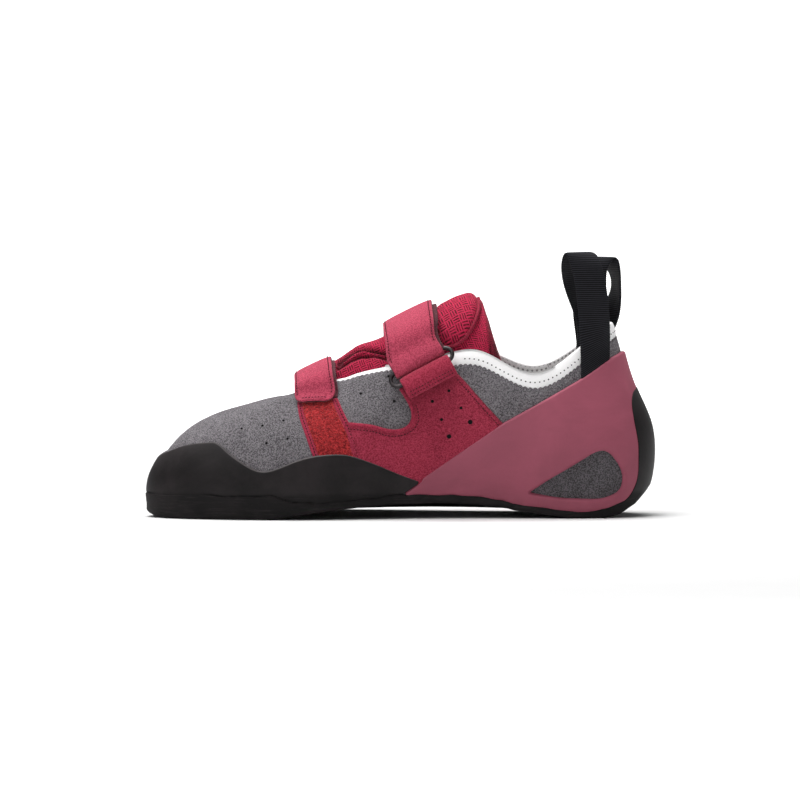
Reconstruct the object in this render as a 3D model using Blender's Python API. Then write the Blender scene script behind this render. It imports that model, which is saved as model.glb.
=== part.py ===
"""A climbing shoe with two straps, for the right foot, seen best from its inner (medial) side.

The toe points to -X, the heel to +X, the inner side of the foot faces -Y and the sole rests on z = 0.
Every piece is worked out from one surface, the outside of the upper: its ribs run from the feather line,
where the upper meets the sole, up to the edge of the throat and collar. Each layer is an offset of it.
"""

import math

import bmesh
import bpy
import numpy as np

# Driving sizes in metres.
LENGTH = 0.245
BALL_WIDTH = 0.088
HEEL_WIDTH = 0.060
INSTEP_HEIGHT = 0.0985
COLLAR_HEIGHT = 0.094
ARCH_HEIGHT = 0.0074
TOE_SPRING = 0.0022
HEEL_ROUND = 0.019
OUTER_ARCH_SHARE = 0.3

# Thicknesses in metres.
GAP = 0.0003
CURVED_GAP = 0.0005
INSOLE_CLEARANCE = 0.0007
SOLE_THICKNESS = 0.0046
SOLE_EDGE = 0.0024
SOLE_BEVEL = 0.0014
UPPER_WALL = 0.0026
SUEDE = 0.0014
RAND = 0.0019
OVERLAY = 0.0012
BINDING = 0.0008
INSOLE = 0.0020
TONGUE_PAD = 0.0050
STRAP = 0.0018
WEBBING = 0.0014

# Heights and widths of single pieces in metres.
BINDING_DEPTH = 0.0072
THROAT_BINDING_DEPTH = 0.0026
BINDING_WIDENS = (0.02, 0.11)
HEEL_WRAP_HEIGHT = 0.0616
PIPING_RADIUS = 0.0009
RING_WIRE_RADIUS = 0.0011
RING_LENGTH = 0.0325
RING_HALF_DROP = 0.0036
LOOP_WIDTH = 0.0150
LOOP_HEIGHT = 0.1273

# How finely the surfaces are stepped; the ribs stand closer behind a share of LENGTH, by the factor named.
ROUND_STEPS = 56
RIB_STEPS = 9
TOE_RAND_STEPS = 5
HEEL_RAND_STEPS = 8
HEEL_DENSITY = 1.7
HEEL_DENSE_FROM = 0.38

# The sole is filled by rings drawn in, by these shares, towards a middle line: its ends and its y along the
# length, in shares of LENGTH and BALL_WIDTH.
UNDER_RINGS = (0.25, 0.6, 0.9, 0.965)
FLOOR_RINGS = (0.93, 0.85, 0.6, 0.25)
INSOLE_RINGS = (0.25, 0.6, 0.85, 0.98)
MIDDLE_ENDS = (-0.33, 0.36)
MIDDLE_LINE = ((-0.4, -0.1), (-0.1, 0.01), (0.1, 0.03))

# Rows of the last, from the toe round the inner side, the heel and the outer side. Lengths are percent:
# x of LENGTH, y of the width named, z of the height named. Each row has the feather point (its height comes
# from the sole), the wall, the shoulder, the brow and the edge of the opening.
LAST_ROWS = (
    ("toe_tip", "ball", (-48.8, -11.4), (-48.5, -11.4, 20),
     (-44.1, -10.8, 36.5), (-35.9, -9.7, 50), (-20.4, -6.8, 60)),
    ("toe_inner", "ball", (-45.6, -27.8), (-45.4, -28, 19),
     (-41.6, -25, 35.5), (-33.9, -19.3, 49.2), (-19.8, -11.4, 60.5)),
    ("big_toe", "ball", (-37.6, -39.2), (-37.6, -40, 19),
     (-35.5, -34.3, 36), (-30.6, -25.8, 49.5), (-18.4, -14.4, 62.3)),
    ("ball_front", "ball", (-28.6, -44.9), (-28.6, -46.2, 19),
     (-27.3, -41, 36.5), (-24.3, -30.3, 51), (-15.5, -16.7, 65.3)),
    ("ball", "ball", (-18.8, -46.6), (-18.8, -48, 20),
     (-18, -43.4, 37.5), (-16.3, -32.6, 54), (-11.4, -18.8, 68.7)),
    ("behind_ball", "ball", (-8.2, -41), (-8.2, -42.8, 22),
     (-7.8, -40, 41), (-6.5, -32, 59), (-3.3, -22.2, 73.8)),
    ("waist", "ball", (4.1, -32.4), (4.1, -35, 24),
     (4.5, -35.5, 43), (5.3, -32.6, 62), (6.9, -25.6, 78.5)),
    ("collar_front", "heel", (15.5, -42.5), (15.5, -47.5, 26.6),
     (15.5, -51, 45.7), (15.5, -50.5, 66), (15.9, -45, 85)),
    ("ankle", "heel", (26.9, -44.2), (26.9, -49.2, 22.3),
     (26.7, -51.5, 40.4), (26.1, -51.5, 57.4), (25.6, -49, 74)),
    ("heel_side", "heel", (37.6, -43.3), (38.2, -48.3, 21.3),
     (37.8, -47.5, 41.5), (36.1, -42.5, 61.7), (34.3, -37.5, 85)),
    ("heel_corner", "heel", (44.9, -27.5), (46.1, -29.2, 23.4),
     (45.5, -28.3, 44.7), (42.7, -24.2, 67), (39.4, -20.8, 95)),
    ("heel_back", "heel", (48, 0), (48.8, 0, 25.5),
     (48.5, 0, 45.7), (45, 0, 68), (41.8, 0, 99)),
    ("heel_corner_out", "heel", (44.9, 28.3), (46.1, 30, 23.4),
     (45.5, 29, 44.7), (42.7, 24.6, 67), (39.4, 20.8, 95)),
    ("heel_side_out", "heel", (37.6, 45), (38.2, 49.5, 21.3),
     (37.8, 48.5, 41.5), (36.1, 43, 61.7), (34.3, 37.5, 85)),
    ("ankle_out", "heel", (25.3, 48.3), (25.3, 52.5, 22.3),
     (25.3, 53.3, 40.4), (25.5, 52, 57.8), (25.7, 49, 75.8)),
    ("collar_front_out", "heel", (13.1, 54.2), (13.1, 57.5, 25.5),
     (13.9, 56.5, 44.7), (14.7, 52.5, 65), (15.9, 45, 85)),
    ("waist_out", "ball", (0.8, 43.8), (0.8, 45.5, 21),
     (1.6, 42.6, 40), (3.7, 35.2, 60.5), (6.5, 25.6, 78.5)),
    ("ball_out", "ball", (-12.2, 48.9), (-12.2, 50.2, 18),
     (-11.4, 45.7, 35), (-8.6, 34.3, 55.5), (-3.7, 21, 73.8)),
    ("ball_front_out", "ball", (-24.5, 43.8), (-24.5, 44.9, 17),
     (-23.3, 38.8, 32.5), (-19.6, 26.4, 51.5), (-11.4, 13.1, 68.7)),
    ("little_toe", "ball", (-35.8, 30.2), (-35.8, 31, 16.5),
     (-33.4, 25.5, 31.5), (-27.8, 14.8, 48.5), (-16.7, 3.4, 64)),
    ("toe_outer", "ball", (-44.9, 8.6), (-44.7, 8.8, 17.5),
     (-40.6, 7, 34), (-32.7, 2.3, 49.5), (-19.2, -2.3, 61.2)),
)
ROWS = len(LAST_ROWS)
HEEL_ROW = [row[0] for row in LAST_ROWS].index("heel_back")

# The sole along its length: x in percent of LENGTH; arch, toe and heel as shares of ARCH_HEIGHT, TOE_SPRING
# and HEEL_ROUND, which add up to its underside; slab and edge as shares of SOLE_THICKNESS above that.
SOLE_ROWS = (
    (-49.5, 0, 1.0, 0, 1.0, 2.1),
    (-48, 0, 0.35, 0, 1.1, 2.4),
    (-46, 0, 0, 0, 1.15, 2.5),
    (-25, 0, 0, 0, 1.15, 2.5),
    (-21, 0.22, 0, 0, 1.0, 1.6),
    (-15, 0.52, 0, 0, 0.68, 0.95),
    (-8, 0.77, 0, 0, 0.65, 0.9),
    (-1, 0.93, 0, 0, 0.75, 1.06),
    (6, 1.0, 0, 0, 0.75, 0.98),
    (10, 0.96, 0, 0, 0.75, 1.03),
    (15, 0.88, 0, 0, 0.65, 0.9),
    (20, 0.75, 0, 0, 0.58, 0.8),
    (22, 0.53, 0, 0, 0.58, 0.8),
    (27, 0.28, 0, 0, 0.56, 0.77),
    (31, 0.12, 0, 0, 0.56, 0.78),
    (34.5, 0, 0, 0, 0.58, 0.8),
    (40, 0, 0, 0, 0.65, 0.98),
    (43, 0, 0, 0.1, 0.65, 1.1),
    (46, 0, 0, 0.34, 0.65, 1.2),
    (48.5, 0, 0, 0.68, 0.65, 1.3),
    (49.5, 0, 0, 1.0, 0.65, 1.4),
)

# Edges seen from the side: x in percent of LENGTH, height in percent of INSTEP_HEIGHT.
TOE_RAND_TOP_INNER = (
    (-50, 26), (-48.5, 27.5), (-47.3, 30), (-44.9, 33.2), (-42.5, 35.4), (-40, 36.8), (-37.1, 37.7),
    (-36, 37.6), (-33.9, 33.6), (-31.4, 29), (-28.6, 25), (-26.5, 24.1), (-24.7, 25), (-21, 28.6),
    (-17.1, 31.4), (-13.5, 32.3),
    (-10.2, 31.8), (-7.8, 30), (-4.1, 26.4), (-0.4, 22.3), (3.3, 18.7), (6, 16),
)
TOE_RAND_TOP_OUTER = (
    (-50, 26), (-48.5, 27.5), (-47.3, 30), (-44.9, 33), (-40, 33.5), (-34, 30), (-26.5, 25), (-18, 27),
    (-12, 28.5), (-6, 27), (-0.4, 22.3), (3.3, 18.7), (6, 16),
)
HEEL_RAND_TOP = (
    (0.2, 11.2), (0.7, 12.2), (4.1, 18), (4.5, 20), (19.6, 46), (34.7, 67), (41.6, 78), (44, 80.5), (50, 81),
)
RAND_JOINT = ((0.7, 12.2), (4.1, 18))
# How far the rands' thin tips keep from the joint's ends, and their next ribs, in rows of the last.
RAND_TIP = (0.12, 0.2)
RAND_JOINT_V = 0.3
RAND_JOINT_CLEAR = 0.00245
RAND_END_HEIGHT = 0.0012
WINDOW = (
    (25.3, 12.8), (29, 19), (33.1, 25), (36.7, 30.5), (38.4, 32.6), (40, 32.8), (41.8, 29), (43.1, 23),
    (43.3, 18), (42.7, 13.8), (41.2, 11.3), (39.4, 9.9), (35.9, 9.7), (31.4, 10.2), (27.8, 11.6),
)
PIPING_LINE = (
    (-10, 45.8), (-7.6, 45.3), (-5.3, 44.5), (-3.1, 43), (-0.8, 42.5), (0.9, 43.6), (2.3, 47.2), (2.5, 51.6),
    (2, 55.5), (0.8, 60.5),
)
# The panel's foot starts in x before the patch, turns between the rands at a notch and ends at a corner.
PANEL_FOOT = (-8.2, (4.3, 19.55), (19, 46.1))
PANEL_REAR_EDGE = ((10.4, 72.5), (12, 68.5), (15.3, 59.3), (19.6, 47.6))
PIPING_CLEAR = (0.00162, 0.00207)
FRONT_PATCH = ((-17.1, 32.6), (-13, 33.6), (-9, 32.9), (-10.4, 45), (-12.6, 58.5), (-19.4, 55.5), (-18.9, 46))

# Half the outline of the sole's heel wrap seen from behind: y in percent of HEEL_WIDTH, z of HEEL_WRAP_HEIGHT.
# It is cut from a sheet that reaches some rows of the last to each side and to a share of their height.
HEEL_WRAP = (
    (0, 100), (13, 98.5), (22, 93), (28.5, 82), (31.5, 66), (33, 48), (33, 32), (34.5, 22), (39, 13), (47, 5),
    (49, -5),
)
HEEL_WRAP_ROWS = 2.2
HEEL_WRAP_V = 0.9
HEEL_WRAP_LEDGE = 0.00012
HEEL_WRAP_REACH = (0.40, 0.60)

# The line of the tongue's top, and of the straps' tops: x in percent of LENGTH, z of INSTEP_HEIGHT.
TONGUE_TOP = (
    (-23.2, 53.2), (-21, 54.6), (-19.2, 57.5), (-17, 65.5), (-13.5, 74.2), (-11.8, 77), (-9.8, 80.6),
    (-6.5, 84.5), (-3.3, 87), (2, 93.5), (6.1, 99), (8.4, 101.6), (10.5, 104.2), (13, 106.3), (15, 106.6),
    (17, 104), (20, 96),
)
# The tongue: where it starts under the vamp and ends at its top and its wings, in percent of LENGTH.
TONGUE_FRONT = -22.6
TONGUE_END_TOP = 15.2
TONGUE_END_WING = 20.0
TONGUE_CLEARANCE = 0.0008
TONGUE_WING_DEPTH = 0.0075
TONGUE_TIP_HALF_WIDTH = 0.0050
TONGUE_PAD_GROWS = ((0, 0.295), (0.35, 1))

# Rails of the straps: x in percent of LENGTH and z in percent of INSTEP_HEIGHT, on the inner side, over the
# top and on the outer side, for the front edge and the rear edge.
FRONT_STRAP_INNER = (((-20.3, 54.4), (-20.4, 57.5)), ((-13.1, 55.6), (-12.5, 60.2)))
FRONT_STRAP_TOP = ((-20.8, 69.6), (-13.6, 78))
FRONT_STRAP_OUTER = (
    ((-20.5, 52), (-20.5, 48), (-20.5, 44), (-20.5, 40)),
    ((-12, 54), (-12, 50), (-12, 45), (-12, 40)),
)
REAR_STRAP_TOP = ((-3.4, 94.2), (6.1, 105.7))
REAR_STRAP_OUTER = (((-3, 64), (-3, 59), (-3, 53), (-3, 46)), ((8, 67), (8, 61), (8, 54), (8, 46)))
RING_MIDDLE = (4.5, 71.4)
RING_TILT = math.radians(28)
STRAP_FOLD_SHARE = 0.37
# A strap's way over the instep, from the side to its peak: how far out it still is, and how far up already.
INSTEP_ARC = ((0.93, 0.42), (0.66, 0.80), (0.33, 0.965))
TAB_SHARE = 0.355

# Pull loops: the middle of the webbing. First its seats on the collar outside, then free points over the top,
# then its seats inside. x in percent of LENGTH, y of HEEL_WIDTH, z of LOOP_HEIGHT, or of INSTEP_HEIGHT above
# the heel rand for the seats outside.
LOOP_SEATS_OUT = ((37.9, 0.8), (37.9, 5.5))
LOOP_SEATS_IN = ((36.6, 66), (36.2, 60))
LOOP_PATHS = {
    "pull_loop_inner": (
        (37.6, -34, 77), (37.2, -34.5, 88), (36.2, -31.5, 96), (35.1, -26, 99.4), (34.3, -20.5, 97),
        (34.3, -17.5, 89), (35.6, -17.5, 77),
    ),
    "pull_loop_outer": (
        (39.3, 33.5, 76), (40.4, 34, 86), (40.3, 30.5, 94), (39.2, 25, 96.6), (38.2, 19.5, 94.5),
        (37.4, 17, 87), (36.9, 17, 77),
    ),
}
LOOP_WIDTH_LEAN = 0.12
LOOP_BASE_SPREAD = 0.9
STRAP_RAILS = 4

BURGUNDY_SUEDE = ((0.225, 0.040, 0.052), 0.92)
BURGUNDY_RUBBER = ((0.270, 0.075, 0.085), 0.68)
BLACK_RUBBER = ((0.022, 0.022, 0.023), 0.55)
GREY_SUEDE = ((0.235, 0.235, 0.240), 0.93)
WHITE_LINING = ((0.720, 0.710, 0.690), 0.85)
RED_MESH = ((0.330, 0.030, 0.045), 0.88)
RED_FLEECE = ((0.420, 0.030, 0.050), 0.97)
BLACK_WEBBING = ((0.020, 0.020, 0.022), 0.80)
RING_METAL = ((0.060, 0.060, 0.065), 0.35)


def cubic(knots, values, at, closed=False):
    """The smooth curve through values at knots: straight past its ends, or closed with one knot more."""
    knots = np.asarray(knots, float)
    values = np.asarray(values, float)
    if closed:
        values = np.concatenate([values, values[:1]])
    step = np.diff(knots)
    slope = np.diff(values, axis=0) / step[:, None]
    count = len(knots)
    system = np.eye(count)
    right = np.zeros_like(values)
    for i in range(1, count - 1):
        system[i, i - 1 : i + 2] = step[i - 1], 2 * (step[i - 1] + step[i]), step[i]
        right[i] = 6 * (slope[i] - slope[i - 1])
    if closed:
        system[0, 0] = 2 * (step[-1] + step[0])
        system[0, 1] = step[0]
        system[0, -2] = step[-1]
        right[0] = 6 * (slope[0] - slope[-1])
        system[-1, 0] = 1
        system[-1, -1] = -1
    bend = np.linalg.solve(system, right)
    at = np.asarray(at, float)
    if closed:
        at = knots[0] + np.mod(at - knots[0], knots[-1] - knots[0])
    k = np.clip(np.searchsorted(knots, at, side="right") - 1, 0, count - 2)
    wide = step[k][..., None]
    a = (knots[k + 1] - at)[..., None] / wide
    b = 1 - a
    curve = ((a**3 - a) * bend[k] + (b**3 - b) * bend[k + 1]) * wide**2 / 6
    return a * values[k] + b * values[k + 1] + curve


def through(points, at):
    """The smooth curve through points, with at running 0 to 1 by the distance between them."""
    points = np.asarray(points, float)
    knots = np.concatenate([[0], np.cumsum(np.linalg.norm(np.diff(points, axis=0), axis=1))])
    return cubic(knots / knots[-1], points, at)


def unit(vectors):
    return vectors / np.linalg.norm(vectors, axis=-1, keepdims=True)


def side_points(rows):
    """Points given in the side view, in metres."""
    return np.asarray(rows, float) / 100 * (LENGTH, INSTEP_HEIGHT)


def side_line(rows, x):
    """Height in metres of a line given in the side view, at x in metres."""
    points = side_points(rows)
    return np.interp(x, points[:, 0], points[:, 1])


def sole_heights(x, y):
    """The sole's underside, the top of its slab and the top of its edge, at x and y."""
    rows = np.asarray(SOLE_ROWS, float)
    arch, toe, heel, slab, edge = (np.interp(x, rows[:, 0] / 100 * LENGTH, rows[:, i]) for i in range(1, 6))
    across = np.clip((y / BALL_WIDTH + 0.1) / 0.45, 0, 1)
    arch = arch * (1 - (1 - OUTER_ARCH_SHARE) * across * across * (3 - 2 * across))
    under = arch * ARCH_HEIGHT + toe * TOE_SPRING + heel * HEEL_ROUND
    return under, under + slab * SOLE_THICKNESS, under + edge * SOLE_THICKNESS


def under_height(x, y):
    return sole_heights(x, y)[0]


def floor_height(x, y):
    return sole_heights(x, y)[1]


def last_control():
    """The five points of each row in metres, with the feather's height left at 0."""
    widths = {"ball": BALL_WIDTH, "heel": HEEL_WIDTH}
    heights = {"ball": INSTEP_HEIGHT, "heel": COLLAR_HEIGHT}
    rows = []
    for _, kind, feather, *above in LAST_ROWS:
        size = np.array([LENGTH, widths[kind], heights[kind]]) / 100
        rows.append([np.array([*feather, 0]) * size] + [np.array(point) * size for point in above])
    return np.array(rows)


CONTROL = last_control()


def last(u, v):
    """A point on the outside of the upper: u counts rows round it, v is 0 at its foot and 1 at its top."""
    u, v = np.broadcast_arrays(np.asarray(u, float), np.asarray(v, float))
    levels = CONTROL.shape[1]
    rib = cubic(np.arange(ROWS + 1), CONTROL.reshape(ROWS, -1), u, closed=True).reshape(*u.shape, levels, 3)
    rib[..., 0, 2] = sole_heights(rib[..., 0, 0], rib[..., 0, 1])[1] + GAP
    weights = cubic(np.arange(levels), np.eye(levels), v * (levels - 1))
    return np.einsum("...k,...kc->...c", weights, rib)


def outward(u, v):
    """The direction out of the upper's surface."""
    u, v = np.broadcast_arrays(np.asarray(u, float), np.asarray(v, float))
    small = 0.004
    low, high = np.clip(v - small, 0, 1), np.clip(v + small, 0, 1)
    return unit(np.cross(last(u + small, v) - last(u - small, v), last(u, high) - last(u, low)))


def layer(u, v, offset):
    """A point at offset outside the upper's surface, or inside it if offset is negative."""
    offset = np.asarray(offset, float)
    return last(u, v) + outward(u, v) * offset[..., None]


def round_stations():
    """Values of u round the shoe at even steps of length, closer round the heel: index 0 is the toe tip."""
    stations = []
    for start, end in ((0, HEEL_ROW), (HEEL_ROW, ROWS)):
        fine = np.linspace(start, end, 800)
        points = last(fine, np.full_like(fine, 0.25))
        step = np.linalg.norm(np.diff(points, axis=0), axis=1)
        step = step * np.where(points[1:, 0] > HEEL_DENSE_FROM * LENGTH, HEEL_DENSITY, 1)
        run = np.concatenate([[0], np.cumsum(step)])
        stations.append(np.interp(np.linspace(0, run[-1], ROUND_STEPS // 2 + 1), run, fine)[:-1])
    return np.concatenate(stations)


def crossing(u, height, offset):
    """v where each rib, at an offset, crosses a line given as a function from x to its height."""
    steps = np.linspace(0, 1, 241)
    us, vs = np.meshgrid(u, steps, indexing="ij")
    points = layer(us, vs, np.full_like(us, offset))
    over = points[..., 2] - height(points[..., 0])
    first = np.argmax(over >= 0, axis=1)
    first = np.where(over[:, -1] < 0, len(steps) - 1, np.maximum(first, 1))
    row = np.arange(len(u))
    low, high = over[row, first - 1], over[row, first]
    share = np.clip(-low / np.where(high == low, 1, high - low), 0, 1)
    return steps[first - 1] + share * (steps[first] - steps[first - 1])


def run_up(u, v, distance):
    """v at a distance up the rib from v, or down it if the distance is negative."""
    small = 0.01
    length = np.linalg.norm(last(u, np.clip(v + small, 0, 1)) - last(u, np.clip(v - small, 0, 1)), axis=-1)
    span = np.clip(v + small, 0, 1) - np.clip(v - small, 0, 1)
    return np.clip(v + distance * span / length, 0, 1)


def seat(x, z, side):
    """u and v of the point that shows at x, z in the side view, on the inner (-1) or outer (1) side."""
    x, z = (np.atleast_1d(np.asarray(value, float)) for value in (x, z))
    low, high = (0.2, HEEL_ROW - 0.1) if side < 0 else (HEEL_ROW + 0.1, ROWS - 0.2)
    us, vs = np.meshgrid(np.linspace(low, high, 90), np.linspace(0.02, 1, 40), indexing="ij")
    grid = last(us, vs).reshape(-1, 3)
    nearest = np.argmin((grid[None, :, 0] - x[:, None]) ** 2 + (grid[None, :, 2] - z[:, None]) ** 2, axis=1)
    u, v = us.reshape(-1)[nearest], vs.reshape(-1)[nearest]
    small = 0.001
    for _ in range(12):
        here = last(u, v)
        along, up = (last(u + small, v) - here) / small, (last(u, v + small) - here) / small
        miss_x, miss_z = x - here[:, 0], z - here[:, 2]
        det = along[:, 0] * up[:, 2] - along[:, 2] * up[:, 0]
        det = np.where(np.abs(det) < 1e-9, 1e-9, det)
        move_u = (miss_x * up[:, 2] - miss_z * up[:, 0]) / det
        move_v = (along[:, 0] * miss_z - along[:, 2] * miss_x) / det
        u = np.clip(u + np.clip(move_u, -0.3, 0.3), low, high)
        v = np.clip(v + np.clip(move_v, -0.1, 0.1), 0, 1)
    return u, v


def on_side(points, offset, side):
    """Points given in the side view, set at offset outside the upper on one side."""
    points = np.asarray(points, float).reshape(-1, 2)
    u, v = seat(points[:, 0], points[:, 1], side)
    return layer(u, v, np.full_like(u, offset))


STATIONS = round_stations()


def material(name, look, metallic=0.0):
    made = bpy.data.materials.get(name) or bpy.data.materials.new(name)
    made.use_nodes = True
    shader = made.node_tree.nodes["Principled BSDF"]
    colour, roughness = look
    shader.inputs["Base Color"].default_value = (*colour, 1)
    shader.inputs["Roughness"].default_value = roughness
    shader.inputs["Metallic"].default_value = metallic
    return made


def solid(name, loops, finish, closed=False):
    """A closed body bridged through loops of points in turn: a tube with both ends filled, or a ring."""
    loops = np.asarray(loops, float)
    count, size = loops.shape[:2]
    mesh = bpy.data.meshes.new(name)
    faces = []
    for i in range(count if closed else count - 1):
        j = (i + 1) % count
        for k in range(size):
            m = (k + 1) % size
            faces.append((i * size + k, i * size + m, j * size + m, j * size + k))
    if not closed:
        for base in (0, (count - 1) * size):
            for k in range(size // 2 - 1):
                faces.append((base + k, base + k + 1, base + size - 2 - k, base + size - 1 - k))
    mesh.from_pydata(loops.reshape(-1, 3).tolist(), [], faces)
    shape = bmesh.new()
    shape.from_mesh(mesh)
    bmesh.ops.triangulate(shape, faces=shape.faces)
    bmesh.ops.recalc_face_normals(shape, faces=shape.faces)
    shape.to_mesh(mesh)
    shape.free()
    mesh.materials.append(finish)
    mesh.shade_smooth()
    made = bpy.data.objects.new(name, mesh)
    bpy.context.collection.objects.link(made)
    return made


def sheet_loops(outer, inner):
    """Loops for solid(): each row of the outer grid, then the same row of the inner grid backwards."""
    return np.concatenate([outer, inner[:, ::-1]], axis=1)


def hide(piece):
    """Marks a cutter or guide, which is no piece of the shoe."""
    piece.hide_render = True
    piece.display_type = "WIRE"


def prism(name, near, far):
    """A cutter carried from one outline of points to another."""
    mesh = bpy.data.meshes.new(name)
    size = len(near)
    faces = [(k, (k + 1) % size, size + (k + 1) % size, size + k) for k in range(size)]
    faces += [tuple(range(size)), tuple(range(size, 2 * size))]
    mesh.from_pydata(np.concatenate([near, far]).tolist(), [], faces)
    shape = bmesh.new()
    shape.from_mesh(mesh)
    bmesh.ops.recalc_face_normals(shape, faces=shape.faces)
    shape.to_mesh(mesh)
    shape.free()
    made = bpy.data.objects.new(name, mesh)
    hide(made)
    bpy.context.collection.objects.link(made)
    return made


def side_prism(name, outline, near, far):
    """A cutter with an outline in the side view, from y = near to y = far."""
    flat = side_points(outline)
    ends = [np.column_stack([flat[:, 0], np.full(len(flat), y), flat[:, 1]]) for y in (near, far)]
    return prism(name, *ends)


def back_prism(name, outline):
    """A cutter with an outline seen from behind, through the back of the heel."""
    reach = (share * LENGTH for share in HEEL_WRAP_REACH)
    ends = [np.column_stack([np.full(len(outline), x), outline]) for x in reach]
    return prism(name, *ends)


def cut(piece, cutter, operation, solver="EXACT"):
    boolean = piece.modifiers.new(cutter.name, "BOOLEAN")
    boolean.operation = operation
    boolean.solver = solver
    boolean.object = cutter


def sole_top_v(u):
    """v of the top of the sole's edge on each rib."""
    foot = last(u, 0.0)
    top = sole_heights(foot[:, 0], foot[:, 1])[2]
    steps = np.linspace(0, 1, 241)
    heights = last(u[:, None], steps[None, :])[..., 2]
    return np.array([np.interp(t, h, steps) for t, h in zip(top, heights)])


def wrap_outline(clearance):
    """The heel wrap's outline from behind, in metres, grown by a clearance."""
    half = np.asarray(HEEL_WRAP, float) / 100 * (HEEL_WIDTH, HEEL_WRAP_HEIGHT)
    half = half + clearance * np.array([(0, 1)] + [(1, 1)] * (len(half) - 1))
    return np.concatenate([half, (half * (-1, 1))[:0:-1]])


def heel_sheet(name, low, high, rows):
    """A sheet round the back of the heel on the ribs of the upper, for the wrap."""
    u = STATIONS[np.abs(STATIONS - HEEL_ROW) < HEEL_WRAP_ROWS]
    us, vs = np.meshgrid(u, np.linspace(0, HEEL_WRAP_V, rows), indexing="ij")
    outer = layer(us, vs, np.full_like(us, high))
    inner = layer(us, vs, np.full_like(us, low))
    return solid(name, sheet_loops(outer, inner), material("black_rubber", BLACK_RUBBER))


def inward_ring(ring, share, height):
    """A ring drawn in from an outline towards the shoe's own middle line."""
    middle_line = np.array(MIDDLE_LINE) * (LENGTH, BALL_WIDTH)
    middle_x = np.clip(ring[:, 0], MIDDLE_ENDS[0] * LENGTH, MIDDLE_ENDS[1] * LENGTH)
    middle_y = np.interp(middle_x, middle_line[:, 0], middle_line[:, 1])
    x = middle_x + (ring[:, 0] - middle_x) * share
    y = middle_y + (ring[:, 1] - middle_y) * share
    return np.column_stack([x, y, height(x, y)])


def make_outsole(u):
    """The sole: a slab with an arch, flat under ball and heel, an edge that cups the upper, a heel wrap."""
    foot = layer(u, np.zeros_like(u), np.full_like(u, SOLE_EDGE))
    rings = [inward_ring(foot, share, under_height) for share in UNDER_RINGS]
    low = foot.copy()
    low[:, 2] = under_height(foot[:, 0], foot[:, 1]) + SOLE_BEVEL
    rings.append(low)
    top_v = sole_top_v(u)
    for offset, shares in ((SOLE_EDGE, (0, 1)), (CURVED_GAP, (1,))):
        rings += [layer(u, top_v * share, np.full_like(u, offset)) for share in shares]
    seat_ring = layer(u, np.zeros_like(u), np.full_like(u, CURVED_GAP))
    seat_ring[:, 2] -= GAP
    rings.append(seat_ring)
    rings += [inward_ring(foot, share, floor_height) for share in FLOOR_RINGS]
    sole = solid("outsole", rings, material("black_rubber", BLACK_RUBBER))
    wrap = heel_sheet("heel_wrap_guide", CURVED_GAP + HEEL_WRAP_LEDGE, SOLE_EDGE + HEEL_WRAP_LEDGE, RIB_STEPS)
    hide(wrap)
    cut(wrap, back_prism("heel_wrap_cutter", wrap_outline(0.0)), "INTERSECT")
    cut(sole, wrap, "UNION", "MANIFOLD")
    return sole


def make_insole(u):
    """The footbed inside the upper, on the slab of the sole."""
    rim = layer(u, np.zeros_like(u), np.full_like(u, -UPPER_WALL - BINDING - GAP))
    below = [inward_ring(rim, share, floor_height) for share in INSOLE_RINGS]
    above = [ring + (0, 0, INSOLE) for ring in below[::-1]]
    rings = np.array(below + above) + (0, 0, INSOLE_CLEARANCE)
    return solid("insole", rings, material("white_lining", WHITE_LINING))


def binding_depth(u):
    """How far the binding reaches down from the opening's edge: deep round the collar, narrow before it."""
    throat_end, collar_start = (share * LENGTH for share in BINDING_WIDENS)
    share = np.clip((last(u, 1.0)[:, 0] - throat_end) / (collar_start - throat_end), 0, 1)
    return THROAT_BINDING_DEPTH + (BINDING_DEPTH - THROAT_BINDING_DEPTH) * share * share * (3 - 2 * share)


def make_upper(u):
    """The upper: one hollow wall from the feather line to the opening, stepped in under the binding."""
    step_v = run_up(u, np.ones_like(u), -binding_depth(u) - GAP)
    top_v = run_up(u, np.ones_like(u), -BINDING - GAP)
    outer = [layer(u, step_v * share, np.zeros_like(u)) for share in np.linspace(0, 1, RIB_STEPS)]
    stepped = [layer(u, step_v + (top_v - step_v) * share, np.full_like(u, -SUEDE)) for share in (0, 0.5, 1)]
    inner = [
        layer(u, np.where(share == 1, top_v, top_v * share), np.full_like(u, -UPPER_WALL))
        for share in np.linspace(1, 0, RIB_STEPS + 1)
    ]
    inner[-1][:, 2] = last(u, 0.0)[:, 2]
    rings = np.array(outer + stepped + inner)
    return solid("upper", rings.transpose(1, 0, 2), material("grey_suede", GREY_SUEDE), closed=True)


def make_binding(u):
    """The white binding: a fold over the opening's edge, outside and inside the upper's wall."""
    low_v = run_up(u, np.ones_like(u), -binding_depth(u))
    inner_v = run_up(u, np.ones_like(u), -BINDING_DEPTH)
    crown_v = run_up(u, np.ones_like(u), -BINDING)
    outside, seat_out = -SUEDE + GAP + BINDING, -SUEDE + GAP
    seat_in, inside = -UPPER_WALL - GAP, -UPPER_WALL - GAP - BINDING
    profile = [
        (low_v, seat_out), (low_v, outside), (crown_v, outside),
        (np.ones_like(u), (outside + inside) / 2), (crown_v, inside), (inner_v, inside),
        (inner_v, seat_in), (crown_v, seat_in), (crown_v, seat_out),
    ]
    rings = np.array([layer(u, v, np.full_like(u, offset)) for v, offset in profile])
    finish = material("white_lining", WHITE_LINING)
    return solid("collar_binding", rings.transpose(1, 0, 2), finish, closed=True)


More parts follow.
